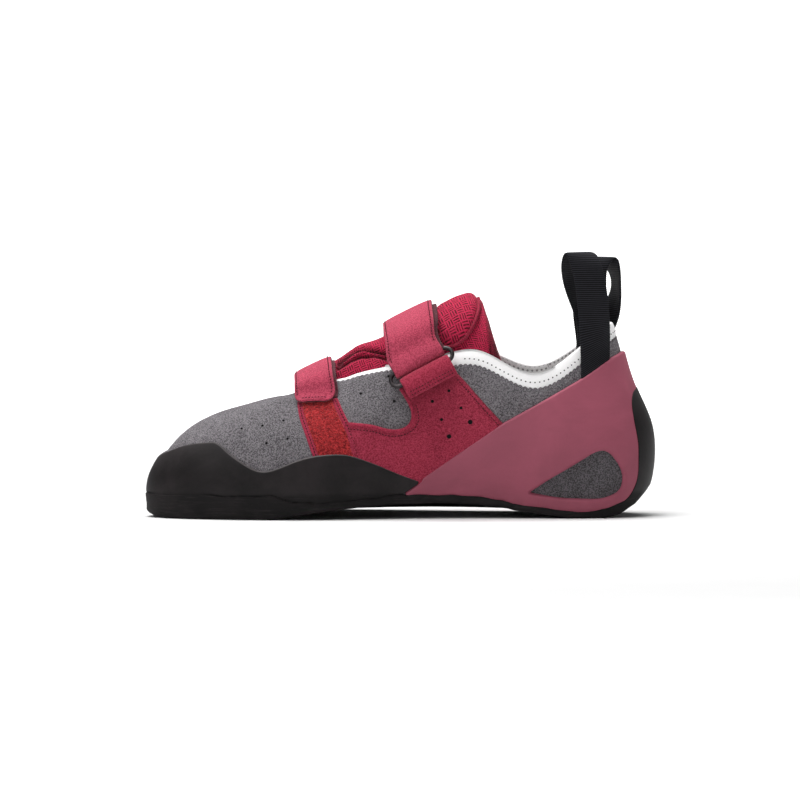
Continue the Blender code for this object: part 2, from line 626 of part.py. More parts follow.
def rand(name, u, low_v, high_v, rows, finish):
    """A band of rubber on the outside of the upper, from low_v to high_v on each rib."""
    shares = np.linspace(0, 1, rows)
    v = low_v[:, None] + (high_v - low_v)[:, None] * shares[None, :]
    grid_u = np.broadcast_to(u[:, None], v.shape)
    outer = layer(grid_u, v, np.full_like(v, GAP + RAND))
    inner = layer(grid_u, v, np.full_like(v, CURVED_GAP))
    return solid(name, sheet_loops(outer, inner), finish)


def rand_ends():
    """u on the inner and the outer side where the rear rand starts and where the front one ends."""
    heights = [side_points([point])[0] for point in RAND_JOINT]
    return [[float(seat(x, z, side)[0][0]) for x, z in heights] for side in (-1, 1)]


def joint_height(x):
    """Height of the slanted joint of the two rands, at x in metres."""
    (low_x, low_z), (high_x, high_z) = side_points(RAND_JOINT)
    return low_z + (x - low_x) / (high_x - low_x) * (high_z - low_z)


def front_rand_top(x):
    return side_line(TOE_RAND_TOP_INNER, x)


def front_rand_top_outer(x):
    return side_line(TOE_RAND_TOP_OUTER, x)


def rear_rand_top(x):
    return side_line(HEEL_RAND_TOP, x)


def sole_edge_v(u):
    """v just above the sole's edge on each rib."""
    return run_up(u, sole_top_v(u), GAP)


def make_rands(u):
    """The black toe rand and the burgundy heel rand, which meet on a slant at the waist."""
    (start_in, stop_in), (start_out, stop_out) = rand_ends()
    tip, near = RAND_TIP
    first, final = stop_out - ROWS, stop_in
    front = np.concatenate([u[u > stop_out] - ROWS, u[u < stop_in]])
    front = front[(front > first + near) & (front < final - near)]
    front = np.unique(np.concatenate([[first + tip], front, [final - tip]]))
    outside = GAP + RAND
    inner = crossing(front, front_rand_top, outside)
    outer = crossing(front, front_rand_top_outer, outside)
    top = np.where(front >= 0, inner, outer)
    low = sole_edge_v(front)
    joint_start = side_points(RAND_JOINT)[0, 0] - RAND_JOINT_CLEAR
    beside_joint = last(front, np.full_like(front, RAND_JOINT_V))[:, 0] > joint_start
    over_joint = run_up(front, crossing(front, joint_height, outside), 2 * GAP)
    low = np.where(beside_joint, np.maximum(low, over_joint), low)
    high = np.maximum(top, run_up(front, low, RAND_END_HEIGHT))
    rand("toe_rand", front, low, high, TOE_RAND_STEPS, material("black_rubber", BLACK_RUBBER))
    rear = u[(u > start_in + near) & (u < start_out - near)]
    rear = np.concatenate([[start_in + 2 * tip / 3], rear, [start_out - 2 * tip / 3]])
    low = sole_edge_v(rear)
    high = np.maximum(crossing(rear, rear_rand_top, outside), run_up(rear, low, RAND_END_HEIGHT))
    piece = rand("heel_rand", rear, low, high, HEEL_RAND_STEPS, material("burgundy_rubber", BURGUNDY_RUBBER))
    cut(piece, back_prism("heel_rand_cutter", wrap_outline(CURVED_GAP)), "DIFFERENCE")
    cut(piece, side_prism("heel_window_cutter", WINDOW, -HEEL_WIDTH, HEEL_WIDTH), "DIFFERENCE")
    return piece


def side_sheet(name, u_span, v_span, steps, finish):
    """A sheet on the inner side, large enough to be cut to its outline."""
    us, vs = np.meshgrid(np.linspace(*u_span, steps[0]), np.linspace(*v_span, steps[1]), indexing="ij")
    outer = layer(us, vs, np.full_like(us, GAP + OVERLAY))
    inner = layer(us, vs, np.full_like(us, GAP))
    return solid(name, sheet_loops(outer, inner), finish)


def panel_outline():
    """The inner panel: below the piping, behind the patch, above both rands and before its own rear edge."""
    clear = 100 * 3 * GAP / INSTEP_HEIGHT
    front, notch, rear = PANEL_FOOT
    toe = [(x, z + clear) for x, z in TOE_RAND_TOP_INNER if front < x < notch[0] - 1]
    heel = [(x, z + clear) for x, z in HEEL_RAND_TOP if notch[0] - 0.1 < x < rear[0]]
    foot = toe + [(notch[0], notch[1] + clear)] + heel + [(rear[0], rear[1] + clear)]
    down = 100 * PIPING_CLEAR[0] / INSTEP_HEIGHT
    across = 100 * PIPING_CLEAR[1] / LENGTH
    under = [(x, z - down) for x, z in PIPING_LINE[:5]]
    corner = [(PIPING_LINE[5][0] + across / 2, PIPING_LINE[5][1] - down / 2)]
    beside = [(x + across, z) for x, z in PIPING_LINE[6:]]
    return foot + list(PANEL_REAR_EDGE[::-1]) + (under + corner + beside)[::-1]


def make_side_pieces():
    """The burgundy panel with its piping and the fleece patch that the front strap closes on."""
    suede = material("burgundy_suede", BURGUNDY_SUEDE)
    reach = -0.9 * BALL_WIDTH
    panel = side_sheet("side_panel", (4.1, 8.3), (0.05, 0.93), (22, 14), suede)
    cut(panel, side_prism("side_panel_cutter", panel_outline(), reach, 0), "INTERSECT")
    patch = side_sheet("front_patch", (3.0, 6.2), (0.3, 0.97), (12, 8), material("red_fleece", RED_FLEECE))
    cut(patch, side_prism("front_patch_cutter", FRONT_PATCH, reach, 0), "INTERSECT")
    line = on_side(side_points(PIPING_LINE), GAP + PIPING_RADIUS, -1)
    tube("side_piping", through(line, np.linspace(0, 1, 22)), PIPING_RADIUS, 6, suede)


def tube(name, path, radius, sides, finish, closed=False):
    """A round cord along a path."""
    path = np.asarray(path)
    if closed:
        along = unit(np.roll(path, -1, axis=0) - np.roll(path, 1, axis=0))
        middle = path - path.mean(axis=0)
        first = unit(np.cross(along, np.cross(middle, along)))
    else:
        along = unit(np.gradient(path, axis=0))
        first = unit(np.cross(along, np.array([0.1, 1, 0.1])))
    second = np.cross(along, first)
    turn = np.arange(sides) * 2 * np.pi / sides
    spokes = np.einsum("t,nc->ntc", np.cos(turn), first) + np.einsum("t,nc->ntc", np.sin(turn), second)
    return solid(name, path[:, None] + radius * spokes, finish, closed)


def band(name, rails, thickness, steps, finish):
    """A strap through rails of points side by side, of even thickness, with its ends closed."""
    at = np.linspace(0, 1, steps)
    grid = np.stack([through(rail, at) for rail in rails], axis=1)
    out = unit(np.cross(np.gradient(grid, axis=1), np.gradient(grid, axis=0)))
    return solid(name, sheet_loops(grid + out * thickness / 2, grid - out * thickness / 2), finish)


def between(rear_share, pair):
    """A value or row of points on the way from the front rail to the rear one."""
    front, rear = (np.asarray(item, float) for item in pair)
    return front + (rear - front) * rear_share


def over_the_top(inner, top, outer):
    """Points of a rail from its last seat on the inner side over the instep to the outer side."""
    middle_y = (inner[1] + outer[1]) / 2
    peak = np.array([top[0], middle_y, top[1]])
    sides = []
    for foot in (np.asarray(inner), np.asarray(outer)):
        shares = np.array([(up, 1 - out, up) for out, up in INSTEP_ARC])
        sides.append((foot + (peak - foot) * shares).tolist())
    return [*sides[0], peak.tolist(), *sides[1][::-1]]


def make_front_strap():
    """The front strap: sewn down on the outer side, over the tongue, its free end on the patch."""
    rails = []
    for share in np.linspace(0, 1, STRAP_RAILS):
        near = on_side(side_points(between(share, FRONT_STRAP_INNER)), 3 * GAP + OVERLAY + STRAP / 2, -1)
        far = on_side(side_points(between(share, FRONT_STRAP_OUTER)), 3 * GAP + STRAP / 2, 1)
        peak = side_points([between(share, FRONT_STRAP_TOP)])[0] - (0, STRAP / 2)
        rails.append(np.array([*near.tolist(), *over_the_top(near[-1], peak, far[0]), *far.tolist()]))
    return band("front_strap", rails, STRAP, 26, material("burgundy_suede", BURGUNDY_SUEDE))


def ring_frame():
    """The ring's middle, the direction of its bars, the way up the strap and the way out of the shoe."""
    middle = side_points([RING_MIDDLE])[0]
    half = np.array([math.cos(RING_TILT), math.sin(RING_TILT)]) * RING_LENGTH / 2
    lift = 3 * GAP + OVERLAY + STRAP + CURVED_GAP + RING_WIRE_RADIUS
    ends = on_side(np.array([middle - half, middle + half]), lift, -1)
    u, v = seat(middle[0], middle[1], -1)
    out = outward(u, v)[0]
    along = unit(ends[1] - ends[0])
    up = unit(np.cross(out, along))
    up = up if up[2] > 0 else -up
    out = unit(np.cross(along, up))
    out = out if out[1] < 0 else -out
    return (ends[0] + ends[1]) / 2 + out * GAP, along, up, out


def make_ring():
    """The oval wire ring between the rear strap and its tab."""
    middle, along, up, _ = ring_frame()
    straight = RING_LENGTH / 2 - RING_HALF_DROP
    bend = np.radians(np.linspace(-90, 90, 7))
    bars = np.array([-straight / 3, straight / 3])
    reach, rise = RING_HALF_DROP * np.cos(bend), RING_HALF_DROP * np.sin(bend)
    level = np.full(2, RING_HALF_DROP)
    x = np.concatenate([straight + reach, -bars, -straight - reach, bars])
    z = np.concatenate([rise, level, -rise, -level])
    path = middle + x[:, None] * along + z[:, None] * up
    return tube("strap_ring", path, RING_WIRE_RADIUS, 6, material("ring_metal", RING_METAL, 1.0), closed=True)


def make_rear_strap():
    """The rear strap: sewn down on the outer side, over the tongue, folded round the ring's upper bar."""
    middle, along, up, out = ring_frame()
    bar = middle + up * RING_HALF_DROP
    turn_radius = RING_WIRE_RADIUS + CURVED_GAP + STRAP / 2
    rails = []
    for share in np.linspace(0, 1, STRAP_RAILS):
        here = bar + along * RING_LENGTH * STRAP_FOLD_SHARE * (2 * share - 1)
        fold = [here - out * turn_radius + up * RING_LENGTH * reach for reach in (0.3, 0.12)]
        for angle in np.radians([0, 45, 90, 135, 180]):
            fold.append(here + turn_radius * (-math.cos(angle) * out - math.sin(angle) * up))
        lean = here + turn_radius * out + up * 0.2 * RING_LENGTH
        far = on_side(side_points(between(share, REAR_STRAP_OUTER)), 3 * GAP + STRAP / 2, 1)
        peak = side_points([between(share, REAR_STRAP_TOP)])[0] - (0, STRAP / 2)
        rails.append(np.array([*fold, lean, *over_the_top(lean, peak, far[0]), *far.tolist()]))
    return band("rear_strap", rails, STRAP, 44, material("burgundy_suede", BURGUNDY_SUEDE))


def make_ring_tab():
    """The tab folded round the ring's lower bar, both its ends sewn down on the panel."""
    middle, along, up, out = ring_frame()
    bar = middle - up * RING_HALF_DROP
    turn_radius = RING_WIRE_RADIUS + CURVED_GAP + STRAP / 2
    rails = []
    for share in np.linspace(0, 1, STRAP_RAILS):
        here = bar + along * RING_LENGTH * TAB_SHARE * (2 * share - 1)
        low = here - out * turn_radius
        rail = [low - up * 0.20 * RING_LENGTH, low - up * 0.1 * RING_LENGTH]
        for angle in np.radians([0, 45, 90, 135, 180]):
            rail.append(here + turn_radius * (-math.cos(angle) * out + math.sin(angle) * up))
        rail.append(here + out * turn_radius * 0.8 - up * 0.14 * RING_LENGTH)
        rail.append(here + out * turn_radius * 0.2 - up * 0.28 * RING_LENGTH)
        rails.append(np.array(rail))
    return band("ring_tab", rails, STRAP, 16, material("burgundy_suede", BURGUNDY_SUEDE))


def throat_edges(x):
    """Half width, middle and height of the clear opening at each x, inside the binding."""
    sides = []
    for low, high in ((0, HEEL_ROW - 2), (ROWS, HEEL_ROW + 2)):
        at = np.linspace(low, high, 160)
        edge = layer(at, np.ones_like(at), np.full_like(at, -UPPER_WALL - BINDING - GAP - TONGUE_CLEARANCE))
        order = np.argsort(edge[:, 0])
        sides.append([np.interp(x, edge[order, 0], edge[order, i]) for i in (1, 2)])
    (inner_y, inner_z), (outer_y, outer_z) = sides
    half = np.maximum((outer_y - inner_y) / 2, 0)
    return half, (outer_y + inner_y) / 2, np.minimum(inner_z, outer_z)


def tongue_surface(a, b, depth):
    """The padded tongue: a runs from the throat's front to its end, b from the inner wing to the outer one."""
    angle = np.pi * b
    wing = 1 - np.sin(angle) ** 0.8
    start, end_top, end_wing = np.array((TONGUE_FRONT, TONGUE_END_TOP, TONGUE_END_WING)) / 100 * LENGTH
    x = start + (end_top + (end_wing - end_top) * wing - start) * a
    top = side_points(TONGUE_TOP)
    half, middle, edge = throat_edges(x)
    half = np.maximum(half, TONGUE_TIP_HALF_WIDTH) - depth
    high = cubic(top[:, 0], top[:, 1:], x)[..., 0] - depth
    low = np.minimum(edge - TONGUE_WING_DEPTH, high - TONGUE_WING_DEPTH / 2)
    y = middle - half * np.sign(np.cos(angle)) * np.abs(np.cos(angle)) ** 0.9
    z = low + (high - low) * np.sin(angle) ** 0.85
    return np.stack([x, y, z], axis=-1)


def make_tongue():
    """The tongue, a padded saddle under the straps whose wings go down inside the throat."""
    a, b = np.meshgrid(np.linspace(0, 1, 19), np.linspace(0, 1, 13), indexing="ij")
    pad = TONGUE_PAD * np.interp(a, TONGUE_PAD_GROWS[0], TONGUE_PAD_GROWS[1])
    outer = tongue_surface(a, b, 0.0)
    inner = tongue_surface(a, b, pad)
    inner[:, 0, 2] = outer[:, 0, 2]
    inner[:, -1, 2] = outer[:, -1, 2]
    return solid("tongue", sheet_loops(outer, inner), material("red_mesh", RED_MESH))


def make_pull_loop(name, rows):
    """A loop of webbing sewn outside and inside the collar."""
    free = np.asarray(rows, float) / 100 * (LENGTH, HEEL_WIDTH, LOOP_HEIGHT)
    side = np.sign(free[0, 1])
    lean = unit(np.array([1.0, -LOOP_WIDTH_LEAN * side, 0.0]))
    rails = []
    for share in np.linspace(-0.5, 0.5, 3):
        outside = side_points(LOOP_SEATS_OUT)
        outside[:, 0] += share * LOOP_WIDTH * LOOP_BASE_SPREAD
        outside[:, 1] += side_line(HEEL_RAND_TOP, outside[:, 0])
        inside = np.asarray(LOOP_SEATS_IN, float) / 100 * (LENGTH, LOOP_HEIGHT)
        inside[:, 0] += share * LOOP_WIDTH * LOOP_BASE_SPREAD
        seats = [
            on_side(outside, GAP + WEBBING, side),
            on_side(inside, -UPPER_WALL - BINDING - 3 * GAP - 1.2 * WEBBING, side),
        ]
        rails.append(np.concatenate([seats[0], free + lean * LOOP_WIDTH * share, seats[1]]))
    return band(name, rails, WEBBING, 22, material("black_webbing", BLACK_WEBBING))


def stand_on_origin():
    """Moves the shoe so that the middle of the underside of its box is the origin."""
    pieces = [item for item in bpy.data.objects if item.type == "MESH"]
    shown = [item for item in pieces if not item.hide_render]
    corners = np.array([tuple(point.co) for item in shown for point in item.data.vertices])
    low, high = corners.min(axis=0), corners.max(axis=0)
    shift = (-(low[0] + high[0]) / 2, -(low[1] + high[1]) / 2, -low[2])
    for item in pieces:
        for point in item.data.vertices:
            point.co += type(point.co)(shift)


def main():
    for item in list(bpy.data.objects):
        bpy.data.objects.remove(item, do_unlink=True)
    u = STATIONS
    make_outsole(u)
    make_insole(u)
    make_upper(u)
    make_binding(u)
    make_rands(u)
    make_side_pieces()
    make_tongue()
    make_front_strap()
    make_ring()
    make_rear_strap()
    make_ring_tab()
    for name, rows in LOOP_PATHS.items():
        make_pull_loop(name, rows)
    stand_on_origin()


main()
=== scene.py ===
"""A right climbing shoe with two straps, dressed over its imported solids.

Toe to -X, heel to +X, the inner side of the foot to -Y, ground at z = 0, metres. Almost every piece is a
function on the last: u counts the rows of the last round the foot, v runs from its feather line to the
edge of the throat and collar, and an offset stands off that surface.
"""

import math

import bmesh
import bpy
import numpy as np
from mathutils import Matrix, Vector


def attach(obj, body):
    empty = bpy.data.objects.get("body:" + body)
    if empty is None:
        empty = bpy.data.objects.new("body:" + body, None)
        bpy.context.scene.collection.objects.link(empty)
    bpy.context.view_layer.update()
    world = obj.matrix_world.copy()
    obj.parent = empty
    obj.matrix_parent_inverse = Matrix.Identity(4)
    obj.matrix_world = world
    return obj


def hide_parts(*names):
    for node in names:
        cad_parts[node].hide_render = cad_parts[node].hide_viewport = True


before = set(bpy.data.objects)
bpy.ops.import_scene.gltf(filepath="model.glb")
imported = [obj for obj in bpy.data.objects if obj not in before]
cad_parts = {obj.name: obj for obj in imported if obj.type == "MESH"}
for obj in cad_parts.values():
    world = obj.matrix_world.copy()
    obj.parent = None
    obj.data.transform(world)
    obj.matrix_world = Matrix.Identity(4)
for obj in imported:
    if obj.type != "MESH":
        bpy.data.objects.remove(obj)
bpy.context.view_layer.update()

bl_info = {
    "name": "Climbing shoe",
    "version": (1, 0, 0),
    "blender": (4, 5, 0),
    "location": "3D View > Sidebar > Shoe",
    "description": "Builds the visible pieces of a climbing shoe over its solids",
    "category": "Mesh",
}

MM = 0.001

# Sizes of the last, and the place of its own origin in the frame.
LENGTH = 0.245
BALL_WIDTH = 0.088
HEEL_WIDTH = 0.060
INSTEP_HEIGHT = 0.0985
COLLAR_HEIGHT = 0.094
ARCH_HEIGHT = 0.0074
TOE_SPRING = 0.0022
HEEL_ROUND = 0.019
OUTER_ARCH_SHARE = 0.3
LAST_ORIGIN = (0.000143, -0.000959, 0.0)

GAP = 0.0003
SOLE_THICKNESS = 0.0046
SOLE_EDGE = 0.0024
SOLE_BEVEL = 0.0014
UPPER_WALL = 0.0026
RAND = 0.0021
OVERLAY = 0.0014
STRAP = 0.0021
WEBBING = 0.0014
RIB_PITCH = 0.0010
BINDING_DEPTH = 0.0072
THROAT_BINDING_DEPTH = 0.0036
BINDING_WIDENS = (0.02, 0.11)
LINING_TOP = 0.0115
HEEL_WRAP_HEIGHT = 0.0616
PIPING_RADIUS = 0.0011
RING_WIRE_RADIUS = 0.0011
RING_WIRE_SHOWN = 0.0010
RING_LENGTH = 0.0325
RING_HALF_DROP = 0.0036
RING_LIFT = 0.0053
LOOP_WIDTH = 0.0150
LOOP_HEIGHT = 0.1273

# Rows of the last from the toe round the inner side, the heel and the outer side. Lengths are percent: x of
# LENGTH, y and z of the ball's width and the instep's height, or of the heel's width and the collar's height
# in rows whose feather is past HEEL_PART. Each has feather, wall, shoulder, brow and top.
LAST_ROWS = (
    ((-48.8, -11.4), (-48.5, -11.4, 20), (-44.1, -10.8, 36.5), (-35.9, -9.7, 50), (-20.4, -6.8, 60)),
    ((-45.6, -27.8), (-45.4, -28, 19), (-41.6, -25, 35.5), (-33.9, -19.3, 49.2), (-19.8, -11.4, 60.5)),
    ((-37.6, -39.2), (-37.6, -40, 19), (-35.5, -34.3, 36), (-30.6, -25.8, 49.5), (-18.4, -14.4, 62.3)),
    ((-28.6, -44.9), (-28.6, -46.2, 19), (-27.3, -41, 36.5), (-24.3, -30.3, 51), (-15.5, -16.7, 65.3)),
    ((-18.8, -46.6), (-18.8, -48, 20), (-18, -43.4, 37.5), (-16.3, -32.6, 54), (-11.4, -18.8, 68.7)),
    ((-8.2, -41), (-8.2, -42.8, 22), (-7.8, -40, 41), (-6.5, -32, 59), (-3.3, -22.2, 73.8)),
    ((4.1, -32.4), (4.1, -35, 24), (4.5, -35.5, 43), (5.3, -32.6, 62), (6.9, -25.6, 78.5)),
    ((15.5, -42.5), (15.5, -47.5, 26.6), (15.5, -51, 45.7), (15.5, -50.5, 66), (15.9, -45, 85)),
    ((26.9, -44.2), (26.9, -49.2, 22.3), (26.7, -51.5, 40.4), (26.1, -51.5, 57.4), (25.6, -49, 74)),
    ((37.6, -43.3), (38.2, -48.3, 21.3), (37.8, -47.5, 41.5), (36.1, -42.5, 61.7), (34.3, -37.5, 85)),
    ((44.9, -27.5), (46.1, -29.2, 23.4), (45.5, -28.3, 44.7), (42.7, -24.2, 67), (39.4, -20.8, 95)),
    ((48, 0), (48.8, 0, 25.5), (48.5, 0, 45.7), (45, 0, 68), (41.8, 0, 99)),
    ((44.9, 28.3), (46.1, 30, 23.4), (45.5, 29, 44.7), (42.7, 24.6, 67), (39.4, 20.8, 95)),
    ((37.6, 45), (38.2, 49.5, 21.3), (37.8, 48.5, 41.5), (36.1, 43, 61.7), (34.3, 37.5, 85)),
    ((25.3, 48.3), (25.3, 52.5, 22.3), (25.3, 53.3, 40.4), (25.5, 52, 57.8), (25.7, 49, 75.8)),
    ((13.1, 54.2), (13.1, 57.5, 25.5), (13.9, 56.5, 44.7), (14.7, 52.5, 65), (15.9, 45, 85)),
    ((0.8, 43.8), (0.8, 45.5, 21), (1.6, 42.6, 40), (3.7, 35.2, 60.5), (6.5, 25.6, 78.5)),
    ((-12.2, 48.9), (-12.2, 50.2, 18), (-11.4, 45.7, 35), (-8.6, 34.3, 55.5), (-3.7, 21, 73.8)),
    ((-24.5, 43.8), (-24.5, 44.9, 17), (-23.3, 38.8, 32.5), (-19.6, 26.4, 51.5), (-11.4, 13.1, 68.7)),
    ((-35.8, 30.2), (-35.8, 31, 16.5), (-33.4, 25.5, 31.5), (-27.8, 14.8, 48.5), (-16.7, 3.4, 64)),
    ((-44.9, 8.6), (-44.7, 8.8, 17.5), (-40.6, 7, 34), (-32.7, 2.3, 49.5), (-19.2, -2.3, 61.2)),
)
HEEL_PART = 10
ROWS = len(LAST_ROWS)
HEEL_ROW = 11

# The sole along its length: x in percent of LENGTH; arch, toe and heel shares of its underside; slab and edge
# as shares of SOLE_THICKNESS above that.
SOLE_ROWS = (
    (-49.5, 0, 1.0, 0, 1.0, 2.1), (-48, 0, 0.35, 0, 1.1, 2.4), (-46, 0, 0, 0, 1.15, 2.5),
    (-25, 0, 0, 0, 1.15, 2.5), (-21, 0.22, 0, 0, 1.0, 1.6), (-15, 0.52, 0, 0, 0.68, 0.95),
    (-8, 0.77, 0, 0, 0.65, 0.9), (-1, 0.93, 0, 0, 0.75, 1.06), (6, 1.0, 0, 0, 0.75, 0.98),
    (10, 0.96, 0, 0, 0.75, 1.03), (15, 0.88, 0, 0, 0.65, 0.9), (20, 0.75, 0, 0, 0.58, 0.8),
    (22, 0.53, 0, 0, 0.58, 0.8), (27, 0.28, 0, 0, 0.56, 0.77), (31, 0.12, 0, 0, 0.56, 0.78),
    (34.5, 0, 0, 0, 0.58, 0.8), (40, 0, 0, 0, 0.65, 0.98), (43, 0, 0, 0.1, 0.65, 1.1),
    (46, 0, 0, 0.34, 0.65, 1.2), (48.5, 0, 0, 0.68, 0.65, 1.3), (49.5, 0, 0, 1.0, 0.65, 1.4),
)
MIDDLE_ENDS = (-0.33, 0.36)
MIDDLE_LINE = ((-0.4, -0.1), (-0.1, 0.01), (0.1, 0.03))

# Edges seen from the side: x in percent of LENGTH, height in percent of INSTEP_HEIGHT.
TOE_RAND_TOP_INNER = (
    (-50, 26), (-48.5, 27.5), (-47.3, 30), (-44.9, 33.2), (-42.5, 35.4), (-40, 36.8), (-37.1, 37.7),
    (-36, 37.6), (-33.9, 33.6), (-31.4, 29), (-28.6, 25), (-26.5, 24.1), (-24.7, 25), (-21, 28.6),
    (-17.1, 31.4), (-13.5, 32.3), (-10.2, 31.8), (-7.8, 30), (-4.1, 26.4), (-0.4, 22.3), (3.3, 18.7), (6, 16),
)
TOE_RAND_TOP_OUTER = (
    (-50, 26), (-48.5, 27.5), (-47.3, 30), (-44.9, 33), (-40, 33.5), (-34, 30), (-26.5, 25), (-18, 27),
    (-12, 28.5), (-6, 27), (-0.4, 22.3), (3.3, 18.7), (6, 16),
)
HEEL_RAND_TOP = (
    (0.2, 11.2), (0.7, 12.2), (4.1, 18), (4.5, 20), (19.6, 46), (34.7, 67), (41.6, 78), (44, 80.5), (50, 81),
)
RAND_JOINT = ((0.7, 12.2), (4.1, 18))
WINDOW = (
    (25.3, 12.8), (29, 19), (33.1, 25), (36.7, 30.5), (38.4, 32.6), (40, 32.8), (41.8, 29), (43.1, 23),
    (43.3, 18), (42.7, 13.8), (41.2, 11.3), (39.4, 9.9), (35.9, 9.7), (31.4, 10.2), (27.8, 11.6),
    (25.3, 12.8),
)
PIPING_LINE = (
    (-10, 45.8), (-7.6, 45.3), (-5.3, 44.5), (-3.1, 43), (-0.8, 42.5), (0.9, 43.6), (2.3, 47.2), (2.5, 51.6),
    (2, 55.5), (0.8, 60.5),
)
PANEL_REAR_EDGE = ((9.4, 74.5), (12, 68.5), (15.3, 59.3), (19.6, 47.6), (21.5, 42.5))
PANEL_FOOT = ((21, 40), (4.3, 13), (-8, 24), (-12, 28))
PATCH_FRONT_EDGE = ((-17, 30), (-17.6, 34), (-18.9, 43), (-20, 52), (-20.2, 56.2))
PATCH_REAR_EDGE = ((-7.6, 29), (-8.1, 34), (-9.5, 44), (-11.1, 52), (-12.2, 58))
PATCH_BORDERS = (0.12, 0.85)
HEEL_WRAP = (
    (0, 100), (13, 98.5), (22, 93), (28.5, 82), (31.5, 66), (33, 48), (33, 32), (34.5, 22), (39, 13), (47, 5),
)

# The tongue, straps, ring and loops, as the solids have them. INSTEP_ARC gives the points of a strap between
# its last seat and its peak: how much of the way in is still to go, and how much of the way up is done.
TONGUE_TOP = (
    (-23.2, 53.2), (-21, 54.6), (-19.2, 57.5), (-17, 65.5), (-13.5, 74.2), (-11.8, 77), (-9.8, 80.6),
    (-6.5, 84.5), (-3.3, 87), (2, 93.5), (6.1, 99), (8.4, 101.6), (10.5, 104.2), (13, 106.3), (15, 106.6),
    (17, 104), (20, 96),
)
TONGUE_FRONT = -22.6
TONGUE_END_TOP = 15.2
TONGUE_END_WING = 20.0
TONGUE_PAD = 0.0050
TONGUE_CLEARANCE = 0.0008
TONGUE_WING_DEPTH = 0.0075
TONGUE_TIP_HALF_WIDTH = 0.0050
TONGUE_LENGTH = 0.38 * LENGTH
TONGUE_GIRTH = 0.075
FRONT_STRAP_INNER = (((-20.3, 54.4), (-20.4, 57.5)), ((-13.1, 55.6), (-12.5, 60.2)))
FRONT_STRAP_TOP = ((-20.8, 69.6), (-13.6, 78))
FRONT_STRAP_OUTER = (
    ((-20.5, 52), (-20.5, 48), (-20.5, 44), (-20.5, 40)),
    ((-12, 54), (-12, 50), (-12, 45), (-12, 40)),
)
REAR_STRAP_TOP = ((-3.4, 94.2), (6.1, 105.7))
REAR_STRAP_OUTER = (((-3, 64), (-3, 59), (-3, 53), (-3, 46)), ((8, 67), (8, 61), (8, 54), (8, 46)))
INSTEP_ARC = ((0.93, 0.42), (0.66, 0.80), (0.33, 0.965))
RING_MIDDLE = (4.5, 71.4)
RING_TILT = math.radians(28)
STRAP_FOLD_SHARE = 0.4
TAB_SHARE = 0.4
LOOP_SEATS_OUT = ((37.9, 0.8), (37.9, 5.5))
LOOP_SEATS_IN = ((38.0, 66), (37.8, 60))
# Each point of a loop's middle line in millimetres, and how far its width turns towards the heel, in degrees.
LOOP_PATHS = {
    "pull_loop_inner": (
        (92.6, -20.4, 98, 8), (91.0, -20.7, 112, 8), (88.6, -19.2, 121.8, 12), (85.8, -15.6, 126.4, 28),
        (81.5, -11.5, 123.4, 58), (80.6, -8.5, 113.5, 70), (86.2, -8.8, 101, 56), (91.6, -10.4, 91, 20),
    ),
    "pull_loop_outer": (
        (98.6, 20.2, 94, 30), (103, 19, 103.5, 66), (103.8, 18, 112, 74), (101.4, 16.5, 119.6, 58),
        (97, 14.5, 123, 25), (92.8, 12, 119.4, 8), (91.6, 10.4, 110.7, 4), (90.4, 10.2, 98, 4),
    ),
}
STRAP_RAILS = 4

# Soft creases and swellings of the upper: side (-1 inner, 1 outer), then from and to in millimetres in the
# side view and any corners between, then half width and height in millimetres.
UPPER_RELIEF = (
    (-1, (-53, 62), (-51, 47), 5, -0.7), (-1, (-62, 52), (-58, 40), 9, 0.5),
    (-1, (-27, 70), (-21, 50), 4, -0.6), (-1, (-12, 52), (-4, 62), 6, 0.5),
    (-1, (34, 66), (48, 54), 6, -0.7), (-1, (50, 60), (72, 56), 5, 0.6),
    (-1, (-100, 34), (-84, 44), 8, 0.5), (-1, (60, 30), (84, 44), 9, -0.5),
    (-1, (-40, 22), (-8, 16), 7, -0.5), (1, (-53, 60), (-48, 44), 5, -0.7),
    (1, (-70, 50), (-60, 38), 9, 0.5), (1, (-24, 68), (-18, 46), 6, -0.8),
    (1, (28, 66), (44, 50), 7, -0.8), (1, (52, 60), (72, 54), 5, 0.6),
    (1, (-10, 50), (2, 62), 6, 0.5), (1, (60, 30), (84, 44), 9, -0.5),
)
# Folds of the tongue between the straps and behind them, in the same way.
TONGUE_RELIEF = (
    (-1, (-29.6, 73.4), (-22.6, 78.7), (-17.5, 80.3), (-12.4, 79.7), (-4, 77.6), 1.0, -2.1),
    (-1, (-29.8, 71.3), (-23.9, 74.9), (-18.8, 77.1), (-12.4, 77.6), (-4, 75.6), 0.9, -1.8),
    (-1, (-26, 80), (-6, 84), 2.6, 0.8), (-1, (-27, 74), (-18, 78.7), (-5, 77.4), 0.9, 0.9),
    (1, (-31, 71), (-24, 77), (-6, 81), 1.1, -1.4), (1, (-26, 69), (-5, 73), 1.0, -1.0),
    (-1, (42.4, 99), (43.4, 77), 0.9, -1.3), (-1, (40.5, 99), (41, 84), 1.8, 0.9),
    (1, (22, 98), (40, 84), 2.0, -1.0), (1, (30, 102), (46, 90), 2.4, 0.9),
)
# The lobe that the tongue's end folds into on the inner side, seen from the side in millimetres.
TONGUE_LOBE = (
    (37.2, 104.4), (37.8, 100.8), (36.9, 96.3), (34.9, 91.2), (31.4, 86.2), (27.4, 82.8), (22.5, 81.2),
    (17, 83), (14, 88), (14.5, 95), (18, 99.6), (24, 102.6), (30, 104.6), (34.6, 105.6), (37.2, 104.4),
)
LOBE_CENTRE = (26.5, 94)
LOBE_HEIGHT = 0.0042

